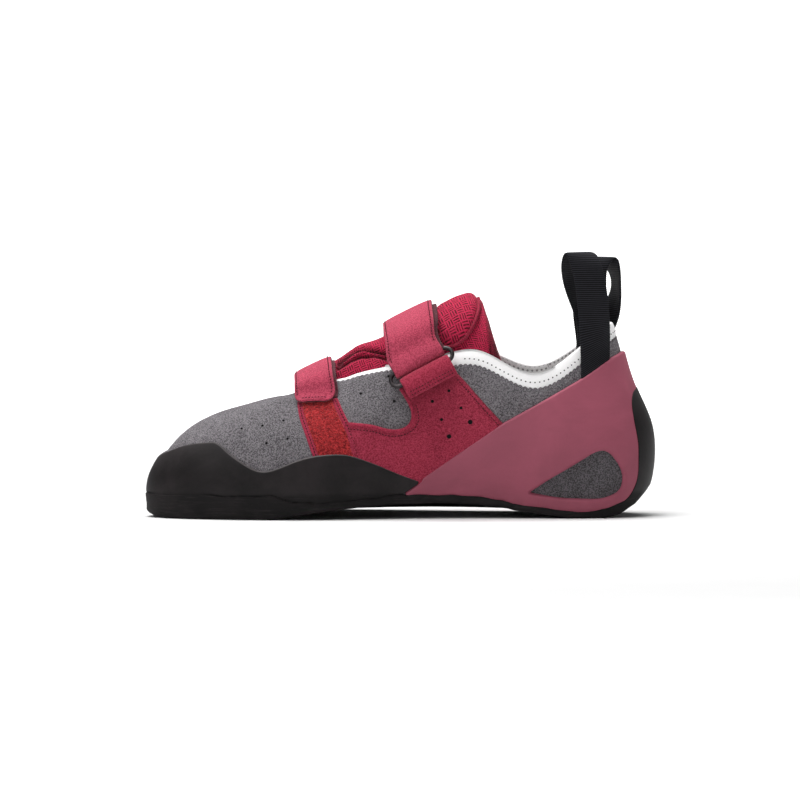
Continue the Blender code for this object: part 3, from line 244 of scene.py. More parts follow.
# Punched holes: side, x and z in the side view in millimetres, radius in millimetres.
SUEDE_HOLES = (
    (-1, -76, 43, 0.5), (-1, -66, 44.4, 0.55), (-1, -56, 47, 0.5), (-1, -64, 36.4, 0.55),
    (-1, -54, 38.5, 0.5), (-1, -57.5, 54.7, 0.36), (-1, -76.5, 49.6, 0.3), (-1, -19, 59.8, 0.55),
    (-1, -3, 56.2, 0.6), (-1, -5.6, 67.8, 0.6), (1, -70, 42, 0.5), (1, -60, 44, 0.5),
    (1, -64, 35, 0.5), (1, -20, 56, 0.55), (1, -8, 52, 0.55),
)
PANEL_HOLES = (
    (-1, 15.3, 56.1, 0.7), (-1, 23.3, 61.2, 0.62), (-1, 29, 53.2, 0.62), (-1, 19.6, 47.6, 0.66),
    (-1, 33.4, 46.5, 1.05), (-1, 23.2, 39.6, 1.0),
)


def cubic(knots, values, at, closed=False):
    """The natural cubic spline through values at knots, straight past its ends, or the closed one."""
    knots = np.asarray(knots, float)
    values = np.asarray(values, float)
    if closed:
        values = np.concatenate([values, values[:1]])
    step = np.diff(knots)
    slope = np.diff(values, axis=0) / step[:, None]
    count = len(knots)
    system = np.eye(count)
    right = np.zeros_like(values)
    for i in range(1, count - 1):
        system[i, i - 1 : i + 2] = step[i - 1], 2 * (step[i - 1] + step[i]), step[i]
        right[i] = 6 * (slope[i] - slope[i - 1])
    if closed:
        system[0, 0] = 2 * (step[-1] + step[0])
        system[0, 1] = step[0]
        system[0, -2] = step[-1]
        right[0] = 6 * (slope[0] - slope[-1])
        system[-1, 0] = 1
        system[-1, -1] = -1
    bend = np.linalg.solve(system, right)
    at = np.asarray(at, float)
    if closed:
        at = knots[0] + np.mod(at - knots[0], knots[-1] - knots[0])
    k = np.clip(np.searchsorted(knots, at, side="right") - 1, 0, count - 2)
    wide = step[k][..., None]
    a = (knots[k + 1] - at)[..., None] / wide
    b = 1 - a
    curve = ((a**3 - a) * bend[k] + (b**3 - b) * bend[k + 1]) * wide**2 / 6
    return a * values[k] + b * values[k + 1] + curve


def through(points, at):
    """The smooth curve through points, with at running 0 to 1 by the distance between them."""
    points = np.asarray(points, float)
    knots = np.concatenate([[0], np.cumsum(np.linalg.norm(np.diff(points, axis=0), axis=1))])
    return cubic(knots / knots[-1], points, at)


def unit(vectors):
    """Vectors scaled to length 1."""
    return vectors / np.maximum(np.linalg.norm(vectors, axis=-1, keepdims=True), 1e-12)


def ease(low, high, x):
    """0 below low, 1 above high, and 3t^2 - 2t^3 between them."""
    t = np.clip((x - low) / (high - low), 0, 1)
    return t * t * (3 - 2 * t)


def lip(distance, width):
    """The quarter circle by which a cut edge rounds over: 0 at the edge, 1 from width inwards."""
    t = np.clip(distance / width, 0, 1)
    return np.sqrt(np.clip(1 - (1 - t) ** 2, 0, 1))


def side_points(rows):
    """Points of a side-view table, from percent to metres."""
    return np.asarray(rows, float) / 100 * (LENGTH, INSTEP_HEIGHT)


def side_line(rows, x):
    """The height at x of a side-view table, straight from point to point."""
    points = side_points(rows)
    return np.interp(x, points[:, 0], points[:, 1])


def smooth_line(rows, x):
    """A side-view line as a spline of height over x."""
    points = side_points(rows)
    return cubic(points[:, 0], points[:, 1:], np.clip(x, points[0, 0], points[-1, 0]))[..., 0]


def sole_heights(x, y):
    """The sole's underside, the top of its slab and the top of its edge, at x and y."""
    rows = np.asarray(SOLE_ROWS, float)
    arch, toe, heel, slab, edge = (np.interp(x, rows[:, 0] / 100 * LENGTH, rows[:, i]) for i in range(1, 6))
    arch = arch * (1 - (1 - OUTER_ARCH_SHARE) * ease(-0.1, 0.35, y / BALL_WIDTH))
    under = arch * ARCH_HEIGHT + toe * TOE_SPRING + heel * HEEL_ROUND
    return under, under + slab * SOLE_THICKNESS, under + edge * SOLE_THICKNESS


def last_control():
    """The rows of the last in metres: five levels of each."""
    rows = []
    for feather, *above in LAST_ROWS:
        heel = feather[0] > HEEL_PART
        width, height = (HEEL_WIDTH, COLLAR_HEIGHT) if heel else (BALL_WIDTH, INSTEP_HEIGHT)
        size = np.array([LENGTH, width, height]) / 100
        rows.append([np.array([*feather, 0]) * size] + [np.array(point) * size for point in above])
    return np.array(rows)


CONTROL = last_control()


def last(u, v):
    """The outside of the upper: a closed spline over the rows in u, an open one over five levels in v."""
    u, v = np.broadcast_arrays(np.asarray(u, float), np.asarray(v, float))
    levels = CONTROL.shape[1]
    rib = cubic(np.arange(ROWS + 1), CONTROL.reshape(ROWS, -1), u, closed=True).reshape(*u.shape, levels, 3)
    rib[..., 0, 2] = sole_heights(rib[..., 0, 0], rib[..., 0, 1])[1] + GAP
    weights = cubic(np.arange(levels), np.eye(levels), v * (levels - 1))
    return np.einsum("...k,...kc->...c", weights, rib)


def outward(u, v):
    """The unit normal of the last: the cross product of its central differences in u and v."""
    u, v = np.broadcast_arrays(np.asarray(u, float), np.asarray(v, float))
    small = 0.004
    low, high = np.clip(v - small, 0, 1), np.clip(v + small, 0, 1)
    return unit(np.cross(last(u + small, v) - last(u - small, v), last(u, high) - last(u, low)))


def relief(points, folds):
    """Soft ridges and troughs on one side: the sum of height * exp(-(distance to a line / half width)^2)."""
    total = np.zeros(points.shape[:-1])
    x, y, z = points[..., 0] / MM, points[..., 1] / MM, points[..., 2] / MM
    for side, *line, half, height in folds:
        gone = np.full(x.shape, np.inf)
        for start, stop in zip(np.array(line[:-1], float), np.array(line[1:], float)):
            run = stop - start
            off_x, off_z = x - start[0], z - start[1]
            share = np.clip((off_x * run[0] + off_z * run[1]) / (run @ run), 0, 1)
            gone = np.minimum(gone, (off_x - share * run[0]) ** 2 + (off_z - share * run[1]) ** 2)
        total += height * MM * np.exp(-gone / half**2) * ease(-2, 5, y * side)
    return total


def layer(u, v, offset):
    """A point at offset outside the last, on its creases and swellings."""
    base = last(u, v)
    lift = np.asarray(offset, float) + relief(base, UPPER_RELIEF)
    return base + outward(u, v) * lift[..., None]


def rib_rate(u, v):
    """Metres up the rib for one unit of v."""
    small = 0.01
    low, high = np.clip(v - small, 0, 1), np.clip(v + small, 0, 1)
    return np.linalg.norm(last(u, high) - last(u, low), axis=-1) / (high - low)


def run_up(u, v, distance):
    """v moved up its rib by a distance in metres."""
    return np.clip(v + distance / rib_rate(u, v), 0, 1)


def crossing(u, height, offset):
    """v where each rib, at an offset, crosses a line given as a function from x to its height."""
    steps = np.linspace(0, 1, 161)
    us, vs = np.meshgrid(u, steps, indexing="ij")
    points = last(us, vs) + outward(us, vs) * offset
    over = points[..., 2] - height(points[..., 0])
    first = np.argmax(over >= 0, axis=1)
    first = np.where(over[:, -1] < 0, len(steps) - 1, np.maximum(first, 1))
    row = np.arange(len(u))
    low, high = over[row, first - 1], over[row, first]
    share = np.clip(-low / np.where(high == low, 1, high - low), 0, 1)
    return steps[first - 1] + share * (steps[first] - steps[first - 1])


def seat(x, z, side):
    """u and v of the points that show at x, z in the side view on one side, by Newton's method."""
    x, z = (np.atleast_1d(np.asarray(value, float)) for value in (x, z))
    low, high = (0.2, HEEL_ROW - 0.1) if side < 0 else (HEEL_ROW + 0.1, ROWS - 0.2)
    us, vs = np.meshgrid(np.linspace(low, high, 60), np.linspace(0.02, 1, 24), indexing="ij")
    grid = last(us, vs).reshape(-1, 3)
    nearest = np.argmin((grid[None, :, 0] - x[:, None]) ** 2 + (grid[None, :, 2] - z[:, None]) ** 2, axis=1)
    u, v = us.reshape(-1)[nearest], vs.reshape(-1)[nearest]
    small = 0.001
    for _ in range(14):
        here = last(u, v)
        along, up = (last(u + small, v) - here) / small, (last(u, v + small) - here) / small
        miss_x, miss_z = x - here[:, 0], z - here[:, 2]
        det = along[:, 0] * up[:, 2] - along[:, 2] * up[:, 0]
        det = np.where(np.abs(det) < 1e-9, 1e-9, det)
        move_u = (miss_x * up[:, 2] - miss_z * up[:, 0]) / det
        move_v = (along[:, 0] * miss_z - along[:, 2] * miss_x) / det
        u = np.clip(u + np.clip(move_u, -0.3, 0.3), low, high)
        v = np.clip(v + np.clip(move_v, -0.1, 0.1), 0, 1)
    return u, v


def on_side(points, offset, side):
    """The points that show at given places in the side view on one side, at an offset off the last."""
    points = np.asarray(points, float).reshape(-1, 2)
    u, v = seat(points[:, 0], points[:, 1], side)
    return layer(u, v, np.full_like(u, offset))


def even_round(low, high, step, v):
    """Values of u from low to high at even steps of length along the ribs' height v."""
    fine = np.linspace(low, high, 1600)
    run = np.concatenate([[0], np.cumsum(np.linalg.norm(np.diff(last(fine, v), axis=0), axis=1))])
    return np.interp(np.linspace(0, run[-1], int(run[-1] / step) + 1), run, fine)


def dense_round(step_low, step_high):
    """Values of u once round the shoe, no step longer than step_low at the wall or step_high at the top."""
    fine = np.linspace(0, ROWS, 4000)
    walls = np.linalg.norm(np.diff(last(fine, 0.25), axis=0), axis=1) / step_low
    tops = np.linalg.norm(np.diff(last(fine, 1.0), axis=0), axis=1) / step_high
    run = np.concatenate([[0], np.cumsum(np.maximum(walls, tops))])
    return np.interp(np.linspace(0, run[-1], int(run[-1]) + 1), run, fine)


def outline_distance(points, outline):
    """Distance in the plane to a closed outline, above 0 inside it, and the nearest point on it."""
    start, stop = outline[:-1], outline[1:]
    flat = points.reshape(-1, 2)
    run = stop - start
    size = np.maximum((run**2).sum(axis=1), 1e-14)
    share = np.clip(((flat[:, None] - start) * run).sum(axis=2) / size, 0, 1)
    foot = start + share[..., None] * run
    gone = np.linalg.norm(flat[:, None] - foot, axis=2)
    nearest = np.argmin(gone, axis=1)
    row = np.arange(len(flat))
    crosses = (start[:, 1] > flat[:, None, 1]) != (stop[:, 1] > flat[:, None, 1])
    rise = np.where(run[:, 1] == 0, 1e-12, run[:, 1])
    at = start[:, 0] + (flat[:, None, 1] - start[:, 1]) / rise * run[:, 0]
    inside = np.logical_and(crosses, flat[:, None, 0] < at).sum(axis=1) % 2 == 1
    distance = np.where(inside, 1, -1) * gone[row, nearest]
    return distance.reshape(points.shape[:-1]), foot[row, nearest].reshape(points.shape)


# Meshes

SEAM_CLOSES = 2e-6
# Rings of one stitch: how far along it, how wide and how high, in radii. Its ends dip into the cloth.
STITCH_RINGS = (
    (-0.5, 0.0, -1.1), (-0.46, 0.62, -0.7), (-0.25, 1, 0), (0.25, 1, 0), (0.46, 0.62, -0.7), (0.5, 0.0, -1.1),
)
STITCH_RISE = 0.10


def link(name, data):
    """A new object of the scene."""
    made = bpy.data.objects.new(name, data)
    bpy.context.scene.collection.objects.link(made)
    return made


def put_piece(name, points, faces, finishes, node, uv=None, marks=None, kinds=None):
    """Makes a piece from points and four-cornered faces, closes its seams and lets it stand for a node."""
    points = np.asarray(points, float).reshape(-1, 3) + LAST_ORIGIN
    faces = np.asarray(faces, np.int32)
    mesh = bpy.data.meshes.new(name)
    mesh.vertices.add(len(points))
    mesh.vertices.foreach_set("co", points.astype(np.float32).ravel())
    mesh.loops.add(faces.size)
    mesh.loops.foreach_set("vertex_index", faces.ravel())
    mesh.polygons.add(len(faces))
    mesh.polygons.foreach_set("loop_start", np.arange(0, faces.size, 4, dtype=np.int32))
    if kinds is not None:
        mesh.polygons.foreach_set("material_index", np.asarray(kinds, np.int32))
    for key, values in (marks or {}).items():
        values = np.asarray(values, np.float32).ravel()
        mesh.attributes.new(key, "FLOAT", "POINT").data.foreach_set("value", values)
    if uv is not None:
        flat = np.asarray(uv, np.float32).reshape(-1, 2)[faces.ravel()]
        mesh.uv_layers.new(name="UVMap").data.foreach_set("uv", flat.ravel())
    mesh.update(calc_edges=True)
    shape = bmesh.new()
    shape.from_mesh(mesh)
    bmesh.ops.remove_doubles(shape, verts=shape.verts, dist=SEAM_CLOSES)
    shape.to_mesh(mesh)
    shape.free()
    mesh.validate()
    mesh.shade_smooth()
    for finish in finishes:
        mesh.materials.append(finish)
    made = link(name, mesh)
    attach(made, "root")
    if node:
        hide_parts(node)
    return made


def grid_faces(rows, columns, keep=None):
    """Faces of a grid of rows by columns points, or of the cells that are kept."""
    at = np.arange(rows * columns).reshape(rows, columns)
    cells = np.stack([at[:-1, :-1], at[1:, :-1], at[1:, 1:], at[:-1, 1:]], axis=-1)
    return cells.reshape(-1, 4) if keep is None else cells[keep]


def with_skirt(faces, count):
    """Faces, and walls from their free edges to a second set of points that follows count points later."""
    start, stop = faces.ravel(), np.roll(faces, -1, axis=1).ravel()
    known = set((start.astype(np.int64) * count + stop).tolist())
    free = np.array([key not in known for key in (stop.astype(np.int64) * count + start).tolist()])
    start, stop = start[free], stop[free]
    return np.concatenate([faces, np.stack([stop, start, start + count, stop + count], axis=1)])


def put_sheet(name, top, deep, finishes, node, keep=None, marks=None, kind=None):
    """A sheet over the shoe: its top, and a wall from its free edges down to the deep points.

    keep chooses the cells of its grid, and kind gives the finish of each cell.
    """
    rows, columns = top.shape[:2]
    count = rows * columns
    faces = grid_faces(rows, columns, keep)
    skirted = with_skirt(faces, count)
    kinds = None
    if kind is not None:
        kinds = kind.reshape(-1)
        kinds = np.concatenate([kinds, np.full(len(skirted) - len(faces), kinds.max())])
    points = np.concatenate([top.reshape(-1, 3), deep.reshape(-1, 3)])
    used, packed = np.unique(skirted, return_inverse=True)
    marks = {key: np.concatenate([value.ravel()] * 2)[used] for key, value in (marks or {}).items()}
    return put_piece(name, points[used], packed.reshape(-1, 4), finishes, node, None, marks, kinds)


def trimmed(us, vs, outline, side, inside):
    """Fits a grid on the last to an outline in the side view: its kept cells, and u and v moved on to it."""
    flat = last(us, vs)[..., (0, 2)]
    distance, _ = outline_distance(flat, outline)
    if not inside:
        distance = -distance
    distance = np.where(last(us, vs)[..., 1] * side > 0, distance, -1.0 if inside else 1.0)
    middle = (distance[1:, 1:] + distance[:-1, 1:] + distance[1:, :-1] + distance[:-1, :-1]) / 4
    keep = middle > 0
    gone = ~keep
    touch_kept, touch_gone = np.zeros(us.shape, bool), np.zeros(us.shape, bool)
    for part in ((slice(None, -1), slice(None, -1)), (slice(1, None), slice(None, -1)),
                 (slice(None, -1), slice(1, None)), (slice(1, None), slice(1, None))):
        touch_kept[part] |= keep
        touch_gone[part] |= gone
    edge = touch_kept & touch_gone
    _, nearest = outline_distance(flat[edge], outline)
    us, vs = us.copy(), vs.copy()
    us[edge], vs[edge] = seat(nearest[:, 0], nearest[:, 1], side)
    distance[edge] = 0
    return us, vs, keep, distance


def lengths(points):
    """Metres run along each axis of a grid of points, for a pattern that follows the surface."""
    along = np.cumsum(np.linalg.norm(np.diff(points, axis=0, prepend=points[:1]), axis=-1), axis=0)
    across = np.cumsum(np.linalg.norm(np.diff(points, axis=1, prepend=points[:, :1]), axis=-1), axis=1)
    along = along.mean(axis=1, keepdims=True) + np.zeros_like(along)
    return np.stack([along, across], axis=-1)


def put_cord(name, path, radius, sides, finish, node, closed=False):
    """A round cord: a circle carried along a path, turned with it, with its ends drawn in."""
    path = np.asarray(path, float)
    if closed:
        along = unit(np.roll(path, -1, axis=0) - np.roll(path, 1, axis=0))
        first = unit(np.cross(along, np.cross(path - path.mean(axis=0), along)))
    else:
        along = unit(np.gradient(path, axis=0))
        first = unit(np.cross(along, np.array([0.1, 1, 0.1])))
    second = np.cross(along, first)
    radii = np.full(len(path), radius)
    if not closed:
        path, first, second = (np.concatenate([a[:1], a, a[-1:]]) for a in (path, first, second))
        radii = np.concatenate([[0], radii, [0]])
    turn = np.linspace(0, 2 * np.pi, sides + 1)
    spokes = np.einsum("t,nc->ntc", np.cos(turn), first) + np.einsum("t,nc->ntc", np.sin(turn), second)
    points = path[:, None] + radii[:, None, None] * spokes
    if closed:
        points = np.concatenate([points, points[:1]])
    uv = lengths(points)
    return put_piece(name, points, grid_faces(*points.shape[:2]), [finish], node, uv)


def stitch_points(path, out, pitch, length, radius):
    """Stitches along a path: a small round-ended thread at each pitch, lying along it and sunk into it."""
    run = np.concatenate([[0], np.cumsum(np.linalg.norm(np.diff(path, axis=0), axis=1))])
    count = max(int(run[-1] / pitch), 1)
    at = (np.arange(count) + 0.5) * run[-1] / count
    near, far = np.clip(at - length / 2, 0, run[-1]), np.clip(at + length / 2, 0, run[-1])
    place = [np.stack([np.interp(t, run, path[:, i]) for i in range(3)], axis=1) for t in (near, at, far)]
    up = unit(np.stack([np.interp(at, run, out[:, i]) for i in range(3)], axis=1))
    along = unit(place[2] - place[0])
    across = unit(np.cross(along, up))
    up = np.cross(across, along)
    turn = np.linspace(0, 2 * np.pi, 7)
    rings = []
    for reach, wide, lift in STITCH_RINGS:
        centre = place[1] + along * length * reach + up * radius * (lift + STITCH_RISE)
        spokes = np.cos(turn)[None, :, None] * across[:, None] + np.sin(turn)[None, :, None] * up[:, None]
        rings.append(centre[:, None] + spokes * radius * wide)
    return np.stack(rings, axis=1)


def put_stitches(name, rows, finish, pitch, length, radius):
    """One piece of all the stitches of some rows, each row a path and its outward directions."""
    threads = np.concatenate([stitch_points(path, out, pitch, length, radius) for path, out in rows])
    count, rings, sides = threads.shape[:3]
    single = grid_faces(rings, sides)
    faces = (single[None] + (np.arange(count) * rings * sides)[:, None, None]).reshape(-1, 4)
    return put_piece(name, threads, faces, [finish], None)


# Materials

SHEEN_ROUGHNESS = 0.45


class Wire:
    """A value in a material; arithmetic on it adds Math nodes."""

    def __init__(self, finish, socket):
        self.finish = finish
        self.socket = socket

    def math(self, operation, *others):
        return self.finish.math(operation, self, *others)

    def __add__(self, other):
        return self.finish.math("ADD", self, other)

    __radd__ = __add__

    def __sub__(self, other):
        return self.finish.math("SUBTRACT", self, other)

    def __rsub__(self, other):
        return self.finish.math("SUBTRACT", other, self)

    def __mul__(self, other):
        return self.finish.math("MULTIPLY", self, other)

    __rmul__ = __mul__

    def __truediv__(self, other):
        return self.finish.math("DIVIDE", self, other)


class Finish:
    """A material under construction: every node but arithmetic comes from add()."""

    def __init__(self, name, roughness=0.6, metallic=0.0, sheen=0.0, specular=0.5):
        self.material = bpy.data.materials.new(name)
        self.material.use_nodes = True
        self.tree = self.material.node_tree
        self.shader = self.tree.nodes["Principled BSDF"]
        for key, value in (("Roughness", roughness), ("Metallic", metallic), ("Sheen Weight", sheen),
                           ("Specular IOR Level", specular), ("Sheen Roughness", SHEEN_ROUGHNESS)):
            self.shader.inputs[key].default_value = value

    def add(self, kind, settings, inputs, output=0):
        node = self.tree.nodes.new(kind)
        for key, value in settings.items():
            setattr(node, key, value)
        for key, value in inputs.items():
            socket = node.inputs[key]
            if isinstance(value, Wire):
                self.tree.links.new(value.socket, socket)
            elif value is not None:
                socket.default_value = value
        return Wire(self, node.outputs[output])

    def math(self, operation, *values):
        return self.add("ShaderNodeMath", {"operation": operation}, dict(enumerate(values)))

    def vector(self, operation, first, second=None, output="Vector"):
        return self.add("ShaderNodeVectorMath", {"operation": operation}, {0: first, 1: second}, output)

    def place(self, kind="Object"):
        return self.add("ShaderNodeTexCoord", {}, {}, kind)

    def mark(self, name):
        return self.add("ShaderNodeAttribute", {"attribute_name": name}, {}, "Fac")

    def stretch(self, vector, scale):
        return self.add("ShaderNodeMapping", {}, {"Vector": vector, "Scale": scale})

    def parts(self, vector):
        node = self.add("ShaderNodeSeparateXYZ", {}, {0: vector}).socket.node
        return [Wire(self, socket) for socket in node.outputs]

    def noise(self, vector, scale, detail=2.0, roughness=0.5, distortion=0.0):
        inputs = {"Vector": vector, "Scale": scale, "Detail": detail, "Roughness": roughness}
        return self.add("ShaderNodeTexNoise", {}, {**inputs, "Distortion": distortion})

    def cells(self, vector, scale):
        return self.add("ShaderNodeTexVoronoi", {}, {"Vector": vector, "Scale": scale}, "Distance")

    def ramp(self, value, low, high, to_low=0.0, to_high=1.0):
        inputs = {"Value": value, "From Min": low, "From Max": high, "To Min": to_low, "To Max": to_high}
        return self.add("ShaderNodeMapRange", {"interpolation_type": "SMOOTHSTEP"}, inputs)

    def mix(self, factor, low, high):
        low, high = ((*c, 1.0) if isinstance(c, tuple) and len(c) == 3 else c for c in (low, high))
        return self.add("ShaderNodeMix", {"data_type": "RGBA"}, {0: factor, 6: low, 7: high}, 2)

    def bump(self, height, distance, strength=1.0):
        return self.add("ShaderNodeBump", {}, {"Strength": strength, "Distance": distance, "Height": height})

    def holes(self, place, holes):
        """1 inside any of some punched holes, seen from their side of the shoe, 0 outside."""
        total = None
        for side, x, z, radius in holes:
            u, v = seat(x * MM, z * MM, side)
            centre = tuple((last(u, v)[0] + LAST_ORIGIN).tolist())
            axis = tuple(outward(u, v)[0].tolist())
            gap = self.vector("SUBTRACT", place, centre)
            gone = self.vector("LENGTH", self.vector("CROSS_PRODUCT", gap, axis), output="Value")
            deep = self.vector("DOT_PRODUCT", gap, axis, output="Value").math("ABSOLUTE")
            one = self.ramp(gone + deep * 0.04, (radius + 0.28) * MM, (radius - 0.02) * MM)
            total = one if total is None else total.math("MAXIMUM", one)
        return total

    def wear(self, **links):
        for key, value in links.items():
            self.tree.links.new(value.socket, self.shader.inputs[key.replace("_", " ")])
        return self.material


def shade(colour, factor):
    """A colour times a factor, no part of it over 1."""
    return tuple(min(c * factor, 1.0) for c in colour)


def suede(name, colour, holes=(), cut=None, grain=1.0, paint_window_shade=False):
    """Napped suede: pale and dark specks, soft clouds, and a cut edge in its own colour where marked."""
    f = Finish(name, roughness=0.95, sheen=0.08, specular=0.15)
    p = f.place()
    speck = f.ramp(f.noise(p, 1500, 2, 0.65), 0.37, 0.63)
    fine = f.ramp(f.noise(p, 3000, 2, 0.6), 0.34, 0.66)
    cloud = f.noise(p, 48, 3, 0.6, 0.4)
    rubbed = f.noise(f.stretch(p, (1, 1, 2.2)), 230, 2)
    tone = speck * 0.54 + fine * 0.22 + f.ramp(cloud, 0.3, 0.7) * 0.14 + rubbed * 0.10
    low, high = 1 - 0.78 * grain, 1 + 0.90 * grain
    base = f.mix(tone, shade(colour, low), tuple(min(c * high + 0.035 * grain, 1) for c in colour))
    height = speck * 0.6 + fine * 0.3 + rubbed * 0.5
    # Painted shade: the suede round the heel window is darkened by its place in x and z.
    if paint_window_shade:
        x, _, z = f.parts(p)
        window_painted_shade = f.ramp(x, 0.046, 0.054) * f.ramp(z, 0.040, 0.034)
        base = f.mix(window_painted_shade, base, f.mix(tone, shade(colour, 0.08), shade(colour, 1.3)))
    if cut:
        base = f.mix(f.mark("edge"), base, f.mix(speck, shade(cut, 0.6), shade(cut, 1.3)))
    # Punched holes: painted near black, the shade inside them, with a dip in the bump.
    if holes:
        hole = f.holes(p, holes)
        base = f.mix(hole, base, (0.004, 0.003, 0.004))
        height = height - hole * 2.5
    return f.wear(Base_Color=base, Normal=f.bump(height, 0.00025, 0.8))


def black_rubber(name):
    """Matte black rubber: dusty clouds, a painted highlight where it faces up, ground marks along the
    sole's edge, painted shade along the seam, nicks.
    """
    f = Finish(name, roughness=0.6, specular=0.2)
    p = f.place()
    cloud = f.noise(p, 36, 4, 0.6, 0.6)
    dust = f.noise(p, 900, 3, 0.7)
    ground = f.noise(f.stretch(p, (0.16, 0.5, 3.0)), 480, 3, 0.65)
    low = f.ramp(f.parts(p)[2], 0.0135, 0.0105)
    tone = f.ramp(cloud, 0.3, 0.75) * 0.6 + dust * 0.3 - low * 0.35 + low * f.ramp(ground, 0.45, 0.8) * 0.7
    base = f.mix(tone, (0.0022, 0.0016, 0.0018), (0.0200, 0.0155, 0.0168))
    # Painted highlight: faces that look up are lightened, as if lit from above.
    facing_up_painted_highlight = f.ramp(f.parts(f.place("Normal"))[2], 0.25, 0.85)
    base = f.mix(facing_up_painted_highlight * (tone * 0.6 + 0.3), base, (0.100, 0.086, 0.089))
    # Painted shade: where marked, the seam between sole and rand is darkened almost to black and roughened.
    seam_painted_shade = f.mark("edge")
    base = f.mix(seam_painted_shade * 0.9, base, (0.0008, 0.0006, 0.0007))
    nicks = f.ramp(f.cells(f.stretch(p, (0.5, 1, 1.4)), 210), 0.16, 0.02) * low
    rough = 0.50 + cloud * 0.14 + low * ground * 0.2 + seam_painted_shade * 0.35
    height = dust * 0.25 + ground * low * 1.0 + cloud * 0.6 - nicks * 0.5
    return f.wear(Base_Color=base, Roughness=rough, Normal=f.bump(height, 0.00028, 0.75))


def burgundy_rubber(name, colour):
    """Matte coloured rubber, mottled and lighter towards its top, with faint brushed smears."""
    f = Finish(name, roughness=0.62, specular=0.25)
    p = f.place()
    cloud = f.noise(p, 26, 4, 0.62, 0.8)
    smear = f.noise(f.stretch(p, (0.5, 1, 1.6)), 160, 3, 0.6)
    dust = f.noise(p, 1300, 2, 0.6)
    # The colour grows lighter with height.
    lighter_towards_top = f.ramp(f.parts(p)[2], 0.015, 0.075)
    tone = f.ramp(cloud, 0.3, 0.72) * 0.4 + smear * 0.25 + dust * 0.15 + lighter_towards_top * 0.5
    base = f.mix(tone, shade(colour, 0.74), shade(colour, 1.22))
    rough = 0.56 + cloud * 0.14 + smear * 0.06
    height = cloud * 0.7 + smear * 0.35 + dust * 0.12
    return f.wear(Base_Color=base, Roughness=rough, Normal=f.bump(height, 0.00025, 0.6))


def plain_lining(name, colour):
    """The smooth white knit of the rolled edge: fine courses, hardly any shade of its own."""
    f = Finish(name, roughness=0.82, sheen=0.15, specular=0.3)
    p = f.place()
    fine = f.noise(p, 2400, 2, 0.6)
    cloud = f.noise(p, 90, 3)
    base = f.mix(f.ramp(cloud, 0.35, 0.7) * 0.5 + fine * 0.4, shade(colour, 0.92), shade(colour, 1.08))
    return f.wear(Base_Color=base, Normal=f.bump(fine * 0.5 + cloud * 0.8, 0.00022, 0.6))


def holed_lining(name, colour, pitch=0.0024):
    """White spacer mesh: rows of small round holes, set off by half a pitch in every second row."""
    f = Finish(name, roughness=0.85, sheen=0.15, specular=0.3)
    x, y, _ = f.parts(f.place("UV"))
    row = (y / (pitch * 0.87)).math("FLOOR")
    odd = row.math("MODULO", 2.0).math("ABSOLUTE")
    across = (x / pitch + odd * 0.5).math("FRACT") - 0.5
    up = (y / (pitch * 0.87)).math("FRACT") - 0.5
    gone = (across * across + up * up).math("SQRT")
    hole = f.ramp(gone, 0.30, 0.16)
    fine = f.noise(f.place(), 2200, 2)
    base = f.mix(fine, shade(colour, 0.88), shade(colour, 1.05))
    base = f.mix(hole, base, shade(colour, 0.36))
    return f.wear(Base_Color=base, Normal=f.bump(fine * 0.2 - hole, 0.0004, 0.8))


def basket_mesh(name, colour, block=0.0033, slots=3):
    """Knit mesh in a basket weave: square blocks of dark slots, each turned across its neighbours."""
    f = Finish(name, roughness=0.85, sheen=0.05, specular=0.2)
    uv = f.place("UV")
    x, y, _ = f.parts(f.add("ShaderNodeMapping", {}, {"Vector": uv, "Rotation": (0, 0, math.radians(-8))}))
    bent = f.noise(uv, 300, 2) - 0.5
    x, y = x / block + bent * 0.25, y / block + bent * 0.25
    fx, fy = x.math("FRACT"), y.math("FRACT")
    turned = (x.math("FLOOR") + y.math("FLOOR")).math("PINGPONG", 1.0)
    along = fx * turned + fy * (1 - turned)
    across = fy * turned + fx * (1 - turned)
    slot = f.ramp((across * (slots * 2 * math.pi)).math("COSINE"), 0.35, -0.35)
    inside = f.ramp((along - 0.5).math("ABSOLUTE"), 0.48, 0.38)
    fuzz = f.noise(f.place(), 2400, 3, 0.7)
    patchy = f.ramp(f.noise(uv, 520, 2), 0.3, 0.6) * 0.4 + 0.6
    dark = slot * inside * patchy
    tone = (1 - dark) * 0.8 + f.ramp(fuzz, 0.3, 0.7) * 0.2
    base = f.mix(tone, shade(colour, 0.07), shade(colour, 1.35))
    # Painted shade: where marked, the mesh is darkened.
    base = f.mix(f.mark("edge"), base, f.mix(tone, shade(colour, 0.05), shade(colour, 0.35)))
    return f.wear(Base_Color=base, Normal=f.bump(fuzz * 0.3 - dark, 0.0004, 0.9))


def fleece(name, colour):
    """Loop pile: yarn ends of its own tone with painted highlights, over gaps darkened by painted shade."""
    f = Finish(name, roughness=0.95, sheen=0.1, specular=0.1)
    p = f.place()
    tangle = f.noise(p, 820, 4, 0.75, 1.4)
    loops = f.cells(p, 1100)
    cloud = f.noise(p, 130, 2)
    # Bright tufts are partly painted highlight. The dark gaps between them are painted shade.
    tone = f.ramp(tangle, 0.40, 0.62) * 0.72 + loops * 0.22 + cloud * 0.15
    base = f.mix(tone, shade(colour, 0.22), (colour[0] * 1.9, colour[1] * 3.4, colour[2] * 2.6))
    return f.wear(Base_Color=base, Normal=f.bump(tangle + loops * 0.6, 0.0009, 1.0))


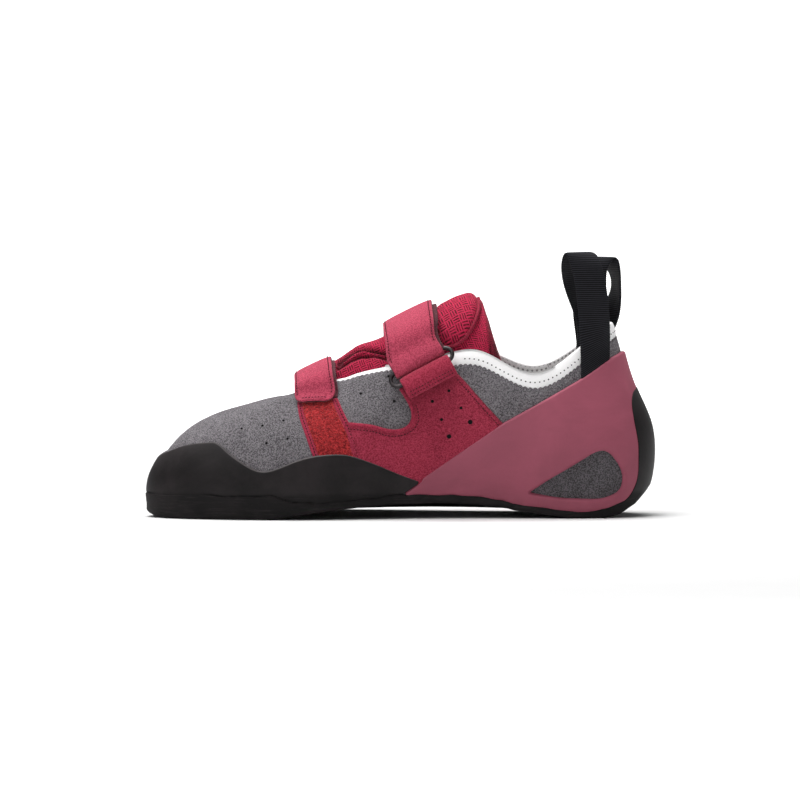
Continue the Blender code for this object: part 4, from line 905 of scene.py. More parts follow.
def ribbed_webbing(name, colour):
    """Woven black webbing: each rib a row of short yarns with a painted highlight on its crest."""
    f = Finish(name, roughness=0.7, specular=0.12)
    x, y, _ = f.parts(f.place("UV"))
    yarn = (y * (2 * math.pi / 0.0006)).math("SINE") * 0.5 + 0.5
    ribs = (x * (2 * math.pi / RIB_PITCH)).math("SINE") * 0.5 + 0.5
    # Painted highlight on the crest of each rib.
    crest_painted_highlight = f.ramp(ribs, 0.45, 0.95)
    fuzz = f.noise(f.place(), 3000, 2, 0.7)
    tone = crest_painted_highlight * (yarn * 0.4 + 0.6) * 0.8 + fuzz * 0.2
    base = f.mix(tone, shade(colour, 0.2), shade(colour, 8.5))
    return f.wear(Base_Color=base, Normal=f.bump(ribs * 0.6 + yarn * 0.3 + fuzz * 0.3, 0.0003, 0.9))


def dark_metal(name):
    """Dark nickel wire, polished, with faint draw lines and duller patches."""
    f = Finish(name, roughness=0.28, metallic=1.0)
    p = f.place()
    dull = f.noise(p, 420, 3, 0.6)
    base = f.mix(dull, (0.016, 0.014, 0.015), (0.075, 0.068, 0.070))
    return f.wear(Base_Color=base, Roughness=0.28 + dull * 0.2, Normal=f.bump(dull, 0.00004, 0.4))


def thread(name, colour):
    """Sewing thread with a slight twist."""
    f = Finish(name, roughness=0.7, specular=0.2)
    twist = f.noise(f.place(), 4200, 1)
    base = f.mix(twist, shade(colour, 0.65), shade(colour, 1.3))
    return f.wear(Base_Color=base, Normal=f.bump(twist, 0.0001, 0.6))


def floor_finish(name):
    """Plain pale paper, lit up from well outside the lamps' reach."""
    f = Finish(name, roughness=0.9, specular=0.1)
    p = f.place()
    grain = f.noise(p, 30, 2)
    x, y, _ = f.parts(p)
    away = f.ramp((x * x + y * y).math("SQRT"), 0.5, 1.3)
    f.shader.inputs["Emission Strength"].default_value = 1.0
    return f.wear(Base_Color=f.mix(grain, (0.70, 0.70, 0.70), (0.72, 0.72, 0.72)),
                  Emission_Color=f.mix(away, (0, 0, 0), (0.95, 0.95, 0.95)))


# The upper, its lining and its rolled edge

def binding_depth(u):
    """How far the white edge reaches down: deep round the collar, narrow before it."""
    throat_end, collar_start = (share * LENGTH for share in BINDING_WIDENS)
    share = ease(throat_end, collar_start, last(u, 1.0)[:, 0])
    front = 0.35 + 0.65 * ease(-0.049, -0.043, last(u, 1.0)[:, 0])
    return THROAT_BINDING_DEPTH * front + (BINDING_DEPTH - THROAT_BINDING_DEPTH) * share


def build_upper(sizes, looks):
    """The suede shell: ribs up to its edge line, which is scalloped by the 0.6th power of a sine."""
    u = dense_round(1.3 * MM, 0.5 * MM)
    depth = binding_depth(u)
    edge = run_up(u, np.ones_like(u), -depth)
    line = last(u, edge)
    run = np.concatenate([[0], np.cumsum(np.linalg.norm(np.diff(line, axis=0), axis=1))])
    teeth = round(run[-1] / sizes.tooth_pitch)
    phase = run / run[-1] * teeth
    tooth = (np.abs(np.sin(np.pi * phase)) ** 0.6 - 0.6) * sizes.tooth_height
    rate = rib_rate(u, edge)
    shares = np.concatenate([np.linspace(0, 0.94, 44), 0.94 + 0.06 * np.linspace(0, 1, 8)[1:]])
    us, share = np.meshgrid(u, shares, indexing="ij")
    vs = edge[:, None] * share + (tooth / rate)[:, None] * ease(0.94, 1, share)
    vs = np.minimum(vs, 0.999)
    bend = 0.22 * MM * ease(0.95, 1, share)
    top = layer(us, vs, 0.12 * MM - bend)
    deep = layer(us, vs, np.full_like(us, -1.1 * MM))
    edge_mark = ease(0.992, 1.0, share)
    put_sheet("upper_suede", top, deep, [looks["suede"]], "upper", marks={"edge": edge_mark})


def build_lining(sizes, looks):
    """The lining inside the wall, and the rolled white edge: a fold carried round the opening."""
    u = dense_round(2.2 * MM, 1.0 * MM)
    depth = binding_depth(u)[:, None]
    rate = rib_rate(u, np.full_like(u, 0.97))[:, None]
    inside = -UPPER_WALL - 1.1 * MM
    plump = 0.25 * MM + 0.45 * MM * ease(0.003, 0.007, depth)
    steps = np.linspace(0, 1, 13)[None]
    down = (depth + 2.2 * MM) * (1 - steps) + 0.8 * MM * steps
    face = -0.75 * MM + plump * np.sin(np.pi * np.clip(down / (depth + 1.0 * MM), 0, 1)) ** 0.7
    turn = np.linspace(0, np.pi, 9)[None, 1:-1]
    half = (-0.45 * MM - inside) / 2
    crown_down = 0.8 * MM - 1.1 * MM * np.sin(turn) + 0 * depth
    crown_face = -0.45 * MM - half + half * np.cos(turn) + 0 * depth
    back = np.linspace(0, 1, 9)[None]
    back_down = 0.8 * MM + (LINING_TOP - 0.8 * MM) * back + 0 * depth
    back_face = inside + 0.7 * MM * ease(0.4, 1.0, back) - 0.25 * MM * np.sin(np.pi * back) + 0 * depth
    down = np.concatenate([down, crown_down, back_down], axis=1)
    face = np.concatenate([face, crown_face, back_face], axis=1)
    us = u[:, None] + 0 * down
    vs = 1 - down / rate
    points = layer(us, vs, face)
    kinds = np.zeros((len(u) - 1, down.shape[1] - 1), int)
    kinds[:, -8:] = 1
    put_piece("collar_edge", points, grid_faces(*points.shape[:2]), [looks["white"], looks["mesh_white"]],
              "collar_binding", lengths(points), kinds=kinds.ravel())
    v_top = 1 - (LINING_TOP - 0.6 * MM) / rate
    us, share = np.meshgrid(u, np.linspace(1, 0, 36), indexing="ij")
    points = layer(us, v_top * share, np.full_like(us, inside + 0.65 * MM))
    put_piece("inner_lining", points, grid_faces(*points.shape[:2]), [looks["mesh_white"]], None,
              lengths(points))
    rim = layer(u, np.zeros_like(u), np.full_like(u, inside + 0.5 * MM))
    shares = np.linspace(1, 0, 14)
    slab = lambda x, y: sole_heights(x, y)[1]
    rings = [inward_ring(rim, s, slab) + (0, 0, 2.6 * MM + 1.6 * MM * s**6) for s in shares]
    points = np.stack(rings, axis=1)
    put_piece("footbed", points, grid_faces(*points.shape[:2]), [looks["footbed"]], "insole",
              points[..., :2])


def inward_ring(ring, share, height):
    """A ring drawn in from an outline towards the shoe's own middle line."""
    middle_line = np.array(MIDDLE_LINE) * (LENGTH, BALL_WIDTH)
    middle_x = np.clip(ring[:, 0], MIDDLE_ENDS[0] * LENGTH, MIDDLE_ENDS[1] * LENGTH)
    middle_y = np.interp(middle_x, middle_line[:, 0], middle_line[:, 1])
    x = middle_x + (ring[:, 0] - middle_x) * share
    y = middle_y + (ring[:, 1] - middle_y) * share
    return np.column_stack([x, y, height(x, y)])


# Rubber

def sole_top(u):
    """v of the top of the sole's edge on each rib, hand ground: a little uneven."""
    foot = last(u, 0.0)
    wander = 0.22 * MM * (np.sin(foot[:, 0] * 190 + 1) + 0.6 * np.sin(foot[:, 0] * 430 + foot[:, 1] * 90))
    top = sole_heights(foot[:, 0], foot[:, 1])[2] + wander
    steps = np.linspace(0, 1, 201)
    heights = last(u[:, None], steps[None, :])[..., 2]
    return np.array([np.interp(t, h, steps) for t, h in zip(top, heights)])


def wrap_edge():
    """The heel wrap's outline as u and v: up its inner half from the sole's edge, and down its outer half."""
    half = through(np.asarray(HEEL_WRAP, float) / 100 * (HEEL_WIDTH, HEEL_WRAP_HEIGHT), np.linspace(1, 0, 60))
    us, vs = np.meshgrid(np.linspace(HEEL_ROW - 2.2, HEEL_ROW, 90), np.linspace(0, 0.95, 120), indexing="ij")
    grid = layer(us, vs, np.full_like(us, SOLE_EDGE)).reshape(-1, 3)
    gone = (grid[None, :, 1] + half[:, None, 0]) ** 2 + (grid[None, :, 2] - half[:, None, 1]) ** 2
    nearest = np.argmin(gone, axis=1)
    u, v = us.reshape(-1)[nearest], vs.reshape(-1)[nearest]
    near = HEEL_ROW - 2.0
    u = np.maximum.accumulate(np.concatenate([[near], u]))
    v = np.concatenate([[float(sole_top(np.array([near]))[0])], v])
    smooth = through(np.column_stack([u, v])[::6], np.linspace(0, 1, 110))
    smooth[-1, 0] = HEEL_ROW
    mirrored = np.column_stack([2 * HEEL_ROW - smooth[::-1, 0], smooth[::-1, 1]])
    return smooth, mirrored


def build_outsole(sizes, looks):
    """Underside, bevel and edge: rings out from the middle line, then ribs up to the sole's edge and wrap."""
    inner_wrap, outer_wrap = wrap_edge()
    before = even_round(0, inner_wrap[0, 0], 1.0 * MM, 0.0)[:-1]
    after = even_round(outer_wrap[-1, 0], ROWS, 1.0 * MM, 0.0)[1:]
    edge_u = np.concatenate([before, inner_wrap[:, 0], outer_wrap[1:, 0], after])
    edge_v = np.concatenate([sole_top(before), inner_wrap[:, 1], outer_wrap[1:, 1], sole_top(after)])
    inside = len(inner_wrap) + len(outer_wrap) - 1
    spread = np.linspace(inner_wrap[0, 0], outer_wrap[-1, 0], inside)
    foot_u = np.concatenate([before, spread, after])
    foot = layer(foot_u, np.zeros_like(foot_u), np.full_like(foot_u, SOLE_EDGE))
    under = lambda x, y: sole_heights(x, y)[0]
    rings = [inward_ring(foot, share, under) for share in np.linspace(0, 0.965, 16)]
    for share, lift in ((0.98, 0.12), (0.992, 0.45), (1.0, 1.0)):
        ring = inward_ring(foot, share, under)
        ring[:, 2] += SOLE_BEVEL * lift
        rings.append(ring)
    rates = rib_rate(edge_u, edge_v)
    wide = np.maximum(edge_v * rates, 1e-4)
    near_edge = np.array([1.6, 1.1, 0.75, 0.45, 0.22, 0.08, 0.0]) * MM
    shares = [np.full_like(edge_u, s) for s in np.linspace(0.04, 1, 26)[:-1]]
    shares = [np.minimum(s, 1 - near_edge[0] / wide) for s in shares] + [1 - d / wide for d in near_edge]
    for share in shares:
        share = np.clip(share, 0.02, 1)
        u = foot_u + (edge_u - foot_u) * share
        round_over = lip((1 - share) * wide + 0.02 * MM, 0.55 * MM)
        rings.append(layer(u, edge_v * share, SOLE_EDGE - 0.9 * MM * (1 - round_over)))
    rings.append(layer(edge_u, edge_v, np.full_like(edge_u, 0.3 * MM)))
    points = np.stack(rings, axis=1)[:, ::-1]
    # The top rows of the sole's edge are marked for painted shade along its seam with the rands.
    seam_painted_shade = np.zeros(points.shape[:2])
    seam_painted_shade[:, :5] = np.array([1, 1, 0.9, 0.6, 0.3])
    put_piece("outsole_rubber", points, grid_faces(*points.shape[:2])[:, ::-1], [looks["black_rubber"]],
              "outsole", marks={"edge": seam_painted_shade})


def rand_ends():
    """u of the two ends of the joint between the rands, on the inner and the outer side."""
    heights = [side_points([point])[0] for point in RAND_JOINT]
    return [[float(seat(x, z, side)[0][0]) for x, z in heights] for side in (-1, 1)]


def joint_height(x):
    """The joint between the rands in the side view: the straight line through its two ends."""
    (low_x, low_z), (high_x, high_z) = side_points(RAND_JOINT)
    return low_z + (x - low_x) / (high_x - low_x) * (high_z - low_z)


EDGE_ROWS = np.array([2.6, 1.8, 1.25, 0.85, 0.55, 0.32, 0.15, 0.05, 0.0]) * MM


def rows_up(low, high, rate, count):
    """Values of v on each rib: count even steps, then closer ones up to the edge."""
    reach = np.maximum(high - EDGE_ROWS[0] / rate, low)
    even = low[:, None] + (reach - low)[:, None] * np.linspace(0, 1, count)[None, :-1]
    close = np.maximum(high[:, None] - EDGE_ROWS[None] / rate[:, None], low[:, None])
    return np.concatenate([even, close], axis=1)


def over_sole(u, vs, rate):
    """How far a rand dips at the sole's edge and sinks behind it, a bell curve and an ease, and the bell."""
    above = (vs - sole_top(u)[:, None]) * rate[:, None]
    # The bell also marks where the seam is painted dark as shade.
    seam_painted_shade = np.exp(-((above / (0.6 * MM)) ** 2))
    return 0.4 * MM * seam_painted_shade + 1.0 * MM * ease(1.2 * MM, 3 * MM, -above), seam_painted_shade


def build_toe_rand(sizes, looks):
    """Rubber round the toe: ribs from under the sole's edge up to the line that the side view shows."""
    (_, stop_in), (_, stop_out) = rand_ends()
    front = even_round(stop_out - ROWS + 0.06, stop_in - 0.06, 0.9 * MM, 0.2)
    inner = crossing(front, lambda x: smooth_line(TOE_RAND_TOP_INNER, x), RAND)
    outer = crossing(front, lambda x: smooth_line(TOE_RAND_TOP_OUTER, x), RAND)
    top = np.where(front >= 0, inner, outer)
    joint = crossing(front, joint_height, RAND)
    behind = last(front, 0.25)[:, 0] > side_points(RAND_JOINT)[0, 0] - 2.5 * MM
    low = np.where(behind, run_up(front, joint, 0.2 * MM), 0)
    high = np.maximum(top, run_up(front, low, 0.4 * MM))
    rate = rib_rate(front, high)
    vs = rows_up(low, high, rate, 22)
    us = front[:, None] + 0 * vs
    offset = 0.15 * MM + (RAND - 0.15 * MM) * lip((high[:, None] - vs) * rate[:, None], sizes.rand_lip)
    # The bell along the sole's edge also marks the painted shade of the seam.
    dip, seam_painted_shade = over_sole(front, vs, rate)
    top_points = layer(us, vs, offset - dip)
    deep = layer(us, vs, np.full_like(us, -0.5 * MM))
    put_sheet("toe_rubber", top_points, deep, [looks["black_rubber"]], "toe_rand",
              marks={"edge": seam_painted_shade})


def build_heel_rand(sizes, looks):
    """Rubber round the heel with a window on each side: cells inside it go, and edge points move on to it."""
    (start_in, _), (start_out, _) = rand_ends()
    rear = even_round(start_in + 0.02, start_out - 0.02, 0.85 * MM, 0.3)
    high = crossing(rear, lambda x: side_line(HEEL_RAND_TOP, x), RAND)
    low = np.zeros_like(rear)
    high = np.maximum(high, run_up(rear, sole_top(rear), 0.2 * MM))
    rate = rib_rate(rear, high)
    vs = rows_up(low, high, rate, 72)
    us = rear[:, None] + 0 * vs
    to_top = (high[:, None] - vs) * rate[:, None]
    outline = through(side_points(WINDOW), np.linspace(0, 1, 140))
    keep = np.ones((us.shape[0] - 1, us.shape[1] - 1), bool)
    distance = np.full(us.shape, 1.0)
    for side in (-1, 1):
        us, vs, stays, gap = trimmed(us, vs, outline, side, inside=False)
        keep &= stays
        distance = np.minimum(distance, gap)
    rise = lip(to_top, sizes.rand_lip) * (0.25 + 0.75 * lip(distance, 0.9 * MM))
    offset = 0.1 * MM + (RAND - 0.1 * MM) * rise
    top_points = layer(us, vs, offset - over_sole(rear, vs, rate)[0])
    deep = layer(us, vs, np.full_like(us, -0.6 * MM))
    put_sheet("heel_rubber", top_points, deep, [looks["burgundy_rubber"]], "heel_rand",
              keep=keep)


# The inner side

def panel_outline():
    """The panel's outline in the side view: its corded edge, its rear edge, then back under the rubber."""
    cord = through(side_points(PIPING_LINE), np.linspace(0, 1, 90))
    rear = through(side_points(PANEL_REAR_EDGE), np.linspace(0, 1, 40))
    foot = side_points(PANEL_FOOT)
    return np.concatenate([cord, rear, foot, cord[:1]])


def build_panel(sizes, looks):
    """The burgundy panel, a sheet trimmed to its outline, and the cord that its edge is rolled over."""
    outline = panel_outline()
    us, vs = np.meshgrid(np.linspace(4.0, 8.6, 190), np.linspace(0.04, 0.96, 110), indexing="ij")
    us, vs, keep, distance = trimmed(us, vs, outline, -1, inside=True)
    swell = 0.25 * MM * lip(distance, 4 * MM)
    offset = (OVERLAY - 0.2 * MM) * (0.45 + 0.55 * lip(distance, 0.8 * MM)) + swell
    groove = 0.3 * MM * np.exp(-((distance - 2.1 * MM) / (0.35 * MM)) ** 2)
    top = layer(us, vs, offset - groove)
    deep = layer(us, vs, np.full_like(us, -0.4 * MM))
    mark = 1 - ease(0.0, 0.35 * MM, distance)
    put_sheet("panel_suede", top, deep, [looks["panel"]], "side_panel", keep=keep,
              marks={"edge": mark * 0.6})
    line = through(side_points(PIPING_LINE), np.linspace(-0.01, 1.06, 120))
    u, v = seat(line[:, 0], line[:, 1], -1)
    path = layer(u, v, np.full_like(u, 0.55 * PIPING_RADIUS + 0.2 * MM))
    put_cord("panel_cord", path, PIPING_RADIUS, 14, looks["panel_plain"], "side_piping")


def patch_surface(s, t, offset):
    """The patch: straight across from its front edge to its rear edge, both splines, s across and t up."""
    front = through(side_points(PATCH_FRONT_EDGE), t.ravel())
    rear = through(side_points(PATCH_REAR_EDGE), t.ravel())
    flat = front + (rear - front) * s.ravel()[:, None]
    u, v = seat(flat[:, 0], flat[:, 1], -1)
    return layer(u.reshape(s.shape), v.reshape(s.shape), offset)


def build_patch(sizes, looks):
    """The pile patch between two suede borders, each a little raised."""
    s, t = np.meshgrid(np.linspace(0, 1, 100), np.linspace(0, 1, 110), indexing="ij")
    front, rear = PATCH_BORDERS
    pile = ease(front - 0.012, front + 0.012, s) * (1 - ease(rear - 0.012, rear + 0.012, s))
    wide = 22.5 * MM
    from_edge = np.minimum(s, 1 - s) * wide
    tufts = np.sin(s * 233 + 3 * np.sin(t * 91)) * np.sin(t * 257 + 2.6 * np.sin(s * 83))
    offset = 0.9 * MM * lip(from_edge, 0.7 * MM) + 0.25 * MM + pile * (0.35 * MM + 0.16 * MM * tufts)
    for at in (front, rear):
        offset = offset - 0.35 * MM * np.exp(-(((s - at) * wide) / (0.4 * MM)) ** 2)
    top = patch_surface(s, t, offset)
    deep = patch_surface(s, t, np.full_like(s, -0.4 * MM))
    middle = (s[1:, 1:] + s[:-1, 1:]) / 2
    kind = ((middle < front) | (middle > rear)).astype(int)
    put_sheet("patch_pile", top, deep, [looks["fleece"], looks["panel_plain"]], "front_patch",
              kind=kind, marks={"edge": 0.5 * (1 - ease(0, 0.4 * MM, from_edge))})


# Straps and ring

FOLD_RADIUS = RING_WIRE_RADIUS + 0.2 * MM + STRAP / 2
FOLD_ANGLES = np.radians([0, 45, 90, 135, 180])
OVER_PATCH = 2.1 * MM + STRAP / 2
OVER_SUEDE = 0.8 * MM + STRAP / 2

def strap_point(rails, a, q):
    """A point of a strap: splines along its rails at a, by the length of their mean, and one across at q."""
    a, q = np.broadcast_arrays(a, q)
    rails = np.asarray(rails)
    knots = np.concatenate([[0], np.cumsum(np.linalg.norm(np.diff(rails.mean(axis=0), axis=0), axis=1))])
    levels = rails.transpose(1, 0, 2).reshape(len(knots), -1)
    along = cubic(knots / knots[-1], levels, a.ravel()).reshape(-1, len(rails), 3)
    weights = cubic(np.linspace(0, 1, len(rails)), np.eye(len(rails)), q.ravel())
    return np.einsum("mr,mrc->mc", weights, along).reshape(*a.shape, 3)


def strap_out(rails, a, q):
    """The unit normal of a strap: the cross product of its central differences across and along."""
    small = 0.002
    across = strap_point(rails, a, q + small) - strap_point(rails, a, q - small)
    along = strap_point(rails, a + small, q) - strap_point(rails, a - small, q)
    return unit(np.cross(across, along))


def strap_size(rails):
    """The strap's length along its middle and its width."""
    a = np.linspace(0, 1, 120)
    near, middle, far = (strap_point(rails, a, np.full_like(a, q)) for q in (0.0, 0.5, 1.0))
    return np.linalg.norm(np.diff(middle, axis=0), axis=1).sum(), np.linalg.norm(far - near, axis=1).mean()


def put_band(name, rails, thickness, finishes, node, corner=0.0, crown=0.0, groove=0.0, step=0.9 * MM,
             ribs=0.0, sides=44, square=5.0, dents=()):
    """A strap: a rounded rectangle carried along its rails, thinner and round-cornered at its ends.

    crown swells its face, groove sinks a line for stitches, ribs is the height of woven ribs, and dents are
    soft bumps: where along and across, half width and height in millimetres.
    """
    length, width = strap_size(rails)
    near = np.array([0, 0.06, 0.18, 0.35, 0.6, 0.9, 1.3, 1.9, 2.7, 3.7]) * MM
    even = np.linspace(4.6 * MM, length - 4.6 * MM, int(length / step))
    run = np.concatenate([near, even, length - near[::-1]])
    turn = np.linspace(0, 2 * np.pi, sides + 1)
    a, t = np.meshgrid(run / length, turn, indexing="ij")
    s = np.sign(np.cos(t)) * np.abs(np.cos(t)) ** (2 / square)
    h = np.sign(np.sin(t)) * np.abs(np.sin(t)) ** 0.55
    end = np.minimum(a, 1 - a) * length
    half = width / 2
    narrow = 1 - (max(corner, 0.4 * MM) / half) * (1 - lip(end, max(corner, 0.4 * MM)))
    thin = lip(end + 0.02 * MM, thickness * 0.6)
    q = 0.5 + 0.5 * s * narrow
    lift = thickness / 2 * h * thin
    face = (h > 0) * np.clip(h, 0, 1)
    from_edge = np.minimum((1 - np.abs(s) * narrow) * half, end)
    lift = lift + face * crown * (1 - s * s) * thin
    lift = lift - face * groove * np.exp(-((from_edge - 1.5 * MM) / (0.4 * MM)) ** 2)
    if ribs:
        wave = np.sin(2 * np.pi * a * length / RIB_PITCH)
        lift = lift + np.sign(h) * np.abs(h) ** 0.3 * ribs * wave * thin
        q = q + 0.006 * np.abs(s) ** 12 * np.sign(s) * wave
    for at, share, wide, deep in dents:
        gone = ((a - at) * length / (wide * MM)) ** 2 + ((q - share) * width / (wide * 1.6 * MM)) ** 2
        lift = lift + deep * MM * np.exp(-gone)
    points = strap_point(rails, a, q) + strap_out(rails, a, q) * lift[..., None]
    uv = np.stack([a * length, q * width], axis=-1)
    marks = {"edge": 1 - ease(-0.2, 0.55, h)}
    return put_piece(name, points, grid_faces(*points.shape[:2])[:, ::-1], finishes, node, uv, marks)


def band_row(rails, corners, lift):
    """A path on a strap's face through corners given as a and q, with its outward directions."""
    corners = np.asarray(corners, float)
    knots = np.linspace(0, 1, len(corners))
    at = np.linspace(0, 1, 40 * (len(corners) - 1))
    a, q = np.interp(at, knots, corners[:, 0]), np.interp(at, knots, corners[:, 1])
    out = strap_out(rails, a, q)
    return strap_point(rails, a, q) + out * lift, out


def between(share, pair):
    """The points of a strap that lie at a share of the way from its front rail to its rear one."""
    front, rear = (np.asarray(item, float) for item in pair)
    return front + (rear - front) * share


def over_the_top(inner, top, outer):
    """Points of a rail from its last seat on the inner side over the instep to the outer side."""
    peak = np.array([top[0], (inner[1] + outer[1]) / 2, top[1]])
    sides = []
    for foot in (np.asarray(inner), np.asarray(outer)):
        shares = np.array([(up, 1 - out, up) for out, up in INSTEP_ARC])
        sides.append((foot + (peak - foot) * shares).tolist())
    return [*sides[0], peak.tolist(), *sides[1][::-1]]


def front_strap_rails():
    """The front strap's rails: from its free end on the patch over the instep to its sewn end."""
    rails = []
    for share in np.linspace(0, 1, STRAP_RAILS):
        near = on_side(side_points(between(share, FRONT_STRAP_INNER)), OVER_PATCH, -1)
        far = on_side(side_points(between(share, FRONT_STRAP_OUTER)), OVER_SUEDE, 1)
        peak = side_points([between(share, FRONT_STRAP_TOP)])[0] - (0, STRAP / 2)
        rails.append(np.array([*near.tolist(), *over_the_top(near[-1], peak, far[0]), *far.tolist()]))
    return rails


def ring_frame():
    """The ring's middle, the direction of its bars, the way up the strap and the way out of the shoe."""
    middle = side_points([RING_MIDDLE])[0]
    half = np.array([math.cos(RING_TILT), math.sin(RING_TILT)]) * RING_LENGTH / 2
    ends = on_side(np.array([middle - half, middle + half]), RING_LIFT, -1)
    u, v = seat(middle[0], middle[1], -1)
    out = outward(u, v)[0]
    along = unit(ends[1] - ends[0])
    up = unit(np.cross(out, along))
    up = up if up[2] > 0 else -up
    out = unit(np.cross(along, up))
    out = out if out[1] < 0 else -out
    return (ends[0] + ends[1]) / 2 + out * GAP, along, up, out


def rear_strap_rails():
    """The rear strap's rails: folded round the ring, then over the instep."""
    middle, along, up, out = ring_frame()
    bar = middle + up * RING_HALF_DROP
    rails = []
    for share in np.linspace(0, 1, STRAP_RAILS):
        here = bar + along * RING_LENGTH * STRAP_FOLD_SHARE * (2 * share - 1)
        far = on_side(side_points(between(share, REAR_STRAP_OUTER)), OVER_SUEDE, 1)
        peak = side_points([between(share, REAR_STRAP_TOP)])[0] - (0, STRAP / 2)
        fold = [here - out * FOLD_RADIUS + up * RING_LENGTH * reach for reach in (0.3, 0.12)]
        for angle in FOLD_ANGLES:
            fold.append(here + FOLD_RADIUS * (-math.cos(angle) * out - math.sin(angle) * up))
        lean = here + FOLD_RADIUS * out + up * 0.2 * RING_LENGTH
        rails.append(np.array([*fold, lean, *over_the_top(lean, peak, far[0]), *far.tolist()]))
    return rails


def layer_under(rails, low, high, drop, shift):
    """Rails of a second layer: a strap's from low to high, let down by drop and moved back by shift."""
    a, q = np.meshgrid(np.linspace(low, high, 24), np.linspace(0, 1, len(rails)))
    return list(strap_point(rails, a, q) - strap_out(rails, a, q) * drop + (shift, 0, 0))


def tab_rails():
    """The tab's rails: from under the ring round its lower bar and back down on the panel."""
    middle, along, up, out = ring_frame()
    bar = middle - up * RING_HALF_DROP
    rails = []
    for share in np.linspace(0, 1, STRAP_RAILS):
        here = bar + along * (RING_LENGTH * TAB_SHARE * (2 * share - 1) + 0.6 * MM)
        low = here - out * FOLD_RADIUS
        rail = [low - up * 0.20 * RING_LENGTH, low - up * 0.1 * RING_LENGTH]
        for angle in FOLD_ANGLES:
            rail.append(here + FOLD_RADIUS * (-math.cos(angle) * out + math.sin(angle) * up))
        rail.append(here + out * FOLD_RADIUS * 0.75 - up * 0.13 * RING_LENGTH)
        rail.append(here - out * FOLD_RADIUS * 0.25 - up * 0.25 * RING_LENGTH)
        rails.append(np.array(rail))
    return rails[::-1]


def build_straps(sizes, looks):
    """Both straps and the tab, bands with rounded edges and a groove for their stitches."""
    front = front_strap_rails()
    put_band("front_strap_suede", front, STRAP, [looks["strap"]], "front_strap",
             corner=4.6 * MM, crown=0.25 * MM, groove=0.22 * MM,
             dents=((0.10, 0.5, 5, 0.25), (0.2, 0.3, 5, -0.3), (0.3, 0.6, 6, 0.3)))
    put_band("front_strap_backing", layer_under(front, 0.035, 0.74, STRAP * 0.85, 1.0 * MM), STRAP * 0.8,
             [looks["backing"]], None, corner=1.0 * MM)
    rear = rear_strap_rails()
    put_band("rear_strap_suede", rear, STRAP, [looks["strap"]], "rear_strap",
             corner=1.0 * MM, crown=0.2 * MM, groove=0.22 * MM,
             dents=((0.22, 0.5, 6, 0.35), (0.33, 0.35, 6, -0.3), (0.42, 0.6, 8, 0.3)))
    put_band("rear_strap_backing", layer_under(rear, 0.1, 0.8, STRAP * 0.95, 1.5 * MM), STRAP,
             [looks["backing"]], None, corner=1.0 * MM)
    put_band("ring_tab_suede", tab_rails(), STRAP * 0.9, [looks["panel_plain"]], "ring_tab",
             corner=0.6 * MM, crown=0.15 * MM, step=0.5 * MM)


def build_ring(sizes, looks):
    """The oval ring: a wire carried round two straight bars and two half circles."""
    middle, along, up, _ = ring_frame()
    straight = RING_LENGTH / 2 - RING_HALF_DROP
    bend = np.radians(np.linspace(-90, 90, 25))
    bars = np.linspace(-1, 1, 15)[1:-1] * straight
    reach, rise = RING_HALF_DROP * np.cos(bend), RING_HALF_DROP * np.sin(bend)
    level = np.full(len(bars), RING_HALF_DROP)
    x = np.concatenate([straight + reach, -bars, -straight - reach, bars])
    z = np.concatenate([rise, level, -rise, -level])
    path = middle + x[:, None] * along + z[:, None] * up
    put_cord("ring_wire", path, RING_WIRE_SHOWN, 16, looks["metal"], "strap_ring", closed=True)


def build_loops(sizes, looks):
    """The two webbing loops, each a ribbed band over the collar's edge."""
    for name, rows in LOOP_PATHS.items():
        rows = np.asarray(rows, float)
        free = rows[:, :3] * MM
        side = np.sign(free[0, 1])
        turn = np.radians(rows[:, 3])
        lean = np.column_stack([np.cos(turn), -side * np.sin(turn), np.zeros(len(turn))])
        rails = []
        for share in np.linspace(-0.5, 0.5, 3):
            along = (share * LOOP_WIDTH * 0.9, 0)
            outside = side_points(LOOP_SEATS_OUT) + along
            outside[:, 1] += side_line(HEEL_RAND_TOP, outside[:, 0]) - (4 * MM, 0)
            inside = np.asarray(LOOP_SEATS_IN, float) / 100 * (LENGTH, LOOP_HEIGHT) + along
            seats = [on_side(outside, WEBBING * 0.75, side), on_side(inside, -UPPER_WALL - 2.6 * MM, side)]
            rails.append(np.concatenate([seats[0], free + lean * LOOP_WIDTH * share, seats[1]]))
        put_band(name + "_web", rails, WEBBING, [looks["webbing"]], name,
                 ribs=0.10 * MM, step=0.22 * MM, sides=24, square=7.0)


# The tongue

def throat_edges(x):
    """Half width, middle and height of the clear opening at each x, inside the rolled edge."""
    sides = []
    inset = -UPPER_WALL - 1.1 * MM - TONGUE_CLEARANCE
    for low, high in ((0, HEEL_ROW - 2), (ROWS, HEEL_ROW + 2)):
        at = np.linspace(low, high, 160)
        edge = last(at, 1.0) + outward(at, np.ones_like(at)) * inset
        order = np.argsort(edge[:, 0])
        sides.append([np.interp(x, edge[order, 0], edge[order, i]) for i in (1, 2)])
    (inner_y, inner_z), (outer_y, outer_z) = sides
    return np.maximum((outer_y - inner_y) / 2, 0), (outer_y + inner_y) / 2, np.minimum(inner_z, outer_z)


